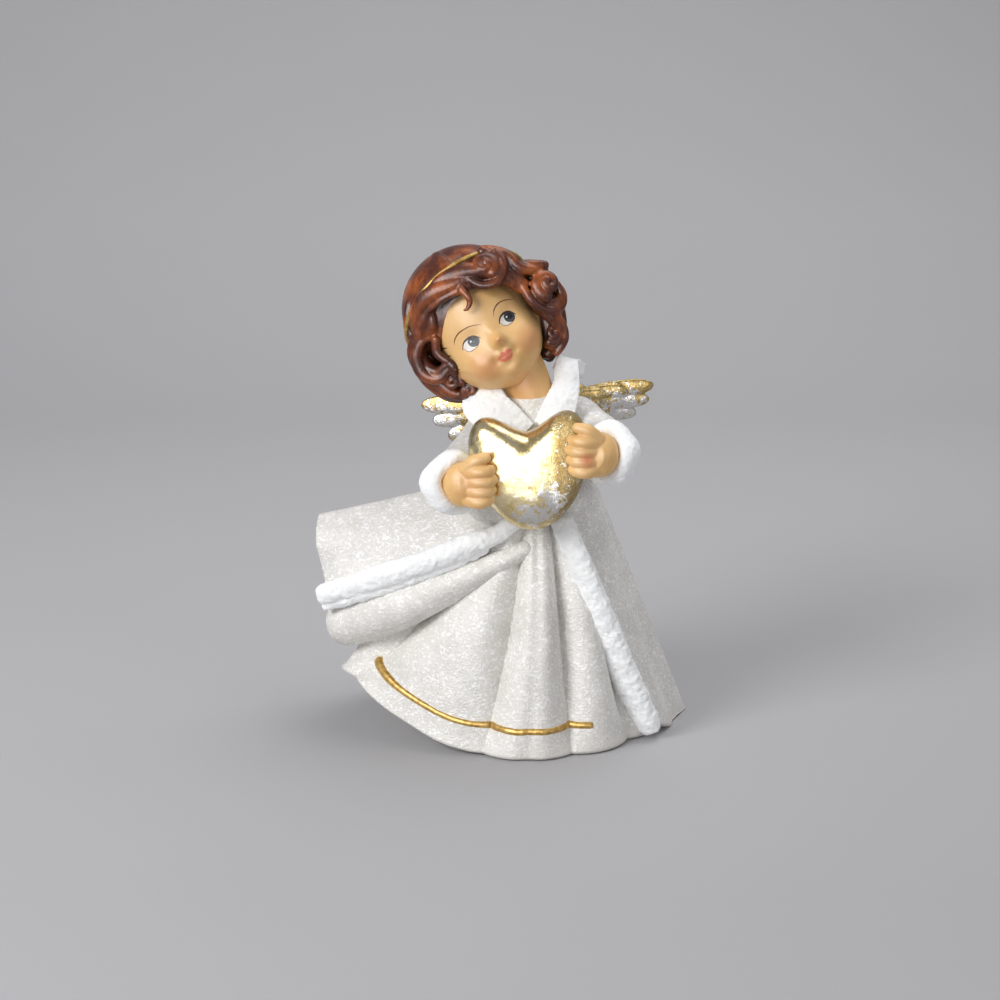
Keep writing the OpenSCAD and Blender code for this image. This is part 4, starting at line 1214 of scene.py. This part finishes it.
def floor_place(u, v):
    """Flat toward the camera, then bent up behind the figurine."""
    s = v * BACKDROP_LONG
    bend = np.clip((s - BACKDROP_FLAT) / BACKDROP_BEND, 0, np.pi / 2)
    y = BACKDROP_FRONT + np.minimum(s, BACKDROP_FLAT) + BACKDROP_BEND * np.sin(bend)
    z = BACKDROP_BEND * (1 - np.cos(bend)) + np.maximum(0, s - BACKDROP_FLAT - BACKDROP_BEND * np.pi / 2)
    return np.stack([(u - 0.5) * BACKDROP_WIDE, y, z], -1)


floor = sheet("paper_backdrop", 8, 300, floor_place)
m, t, b = new_material("graduated grey paper backdrop")
c = millimetres(t)
# painted shade: the floor toward the camera is darker than the paper further back and the wall
paper = mixed(t, fade(t, along_axis(t, c, 1), -100.0, 560.0), "#aaa9ab", "#cccbcd")
grain = noise(t, c, 0.02, 2.0)
t.links.new(mixed(t, times(t, grain, 0.05), paper, "#a0a0a4"), b.inputs["Base Color"])
b.inputs["Roughness"].default_value = 0.85
floor.data.materials.append(m)
alone(floor)
bpy.ops.object.shade_smooth()


def lamp(name, at, aim, power, wide, tall):
    data = bpy.data.lights.new(name, "AREA")
    data.shape = "RECTANGLE"
    data.size = wide * MM
    data.size_y = tall * MM
    data.energy = power
    o = bpy.data.objects.new(name, data)
    bpy.context.scene.collection.objects.link(o)
    o.location = Vector(at) * MM
    o.rotation_euler = (Vector(aim) * MM - o.location).to_track_quat("-Z", "Y").to_euler()
    return o


lamp("key softbox", (-450, -400, 380), (0, 0, 60), 3.1, 280, 280)
card = lamp("front reflector card", (-170, -490, 170), (0, -27, 69), 3.9, 480, 330)
card.visible_diffuse = False
lamp("top softbox", (120, 120, 560), (0, 0, 60), 1.5, 420, 420)
lamp("right fill", (520, -380, 200), (0, 0, 60), 0.4, 300, 400)

world = bpy.data.worlds.new("studio")
world.use_nodes = True
world.node_tree.nodes["Background"].inputs[0].default_value = srgb("#c8c9cc")
world.node_tree.nodes["Background"].inputs[1].default_value = 0.55
bpy.context.scene.world = world

cam_data = bpy.data.cameras.new("camera")
cam_data.lens = 70.6
cam_data.sensor_width = 36
cam = bpy.data.objects.new("camera", cam_data)
bpy.context.scene.collection.objects.link(cam)
cam.location = Vector((-9, -463.6, 181.2)) * MM
cam.rotation_euler = (Vector((-9, 0, 57)) * MM - cam.location).to_track_quat("-Z", "Y").to_euler()
cam_data.clip_start = 0.01
cam_data.clip_end = 10
bpy.context.scene.camera = cam
bpy.context.scene.view_settings.view_transform = "Standard"
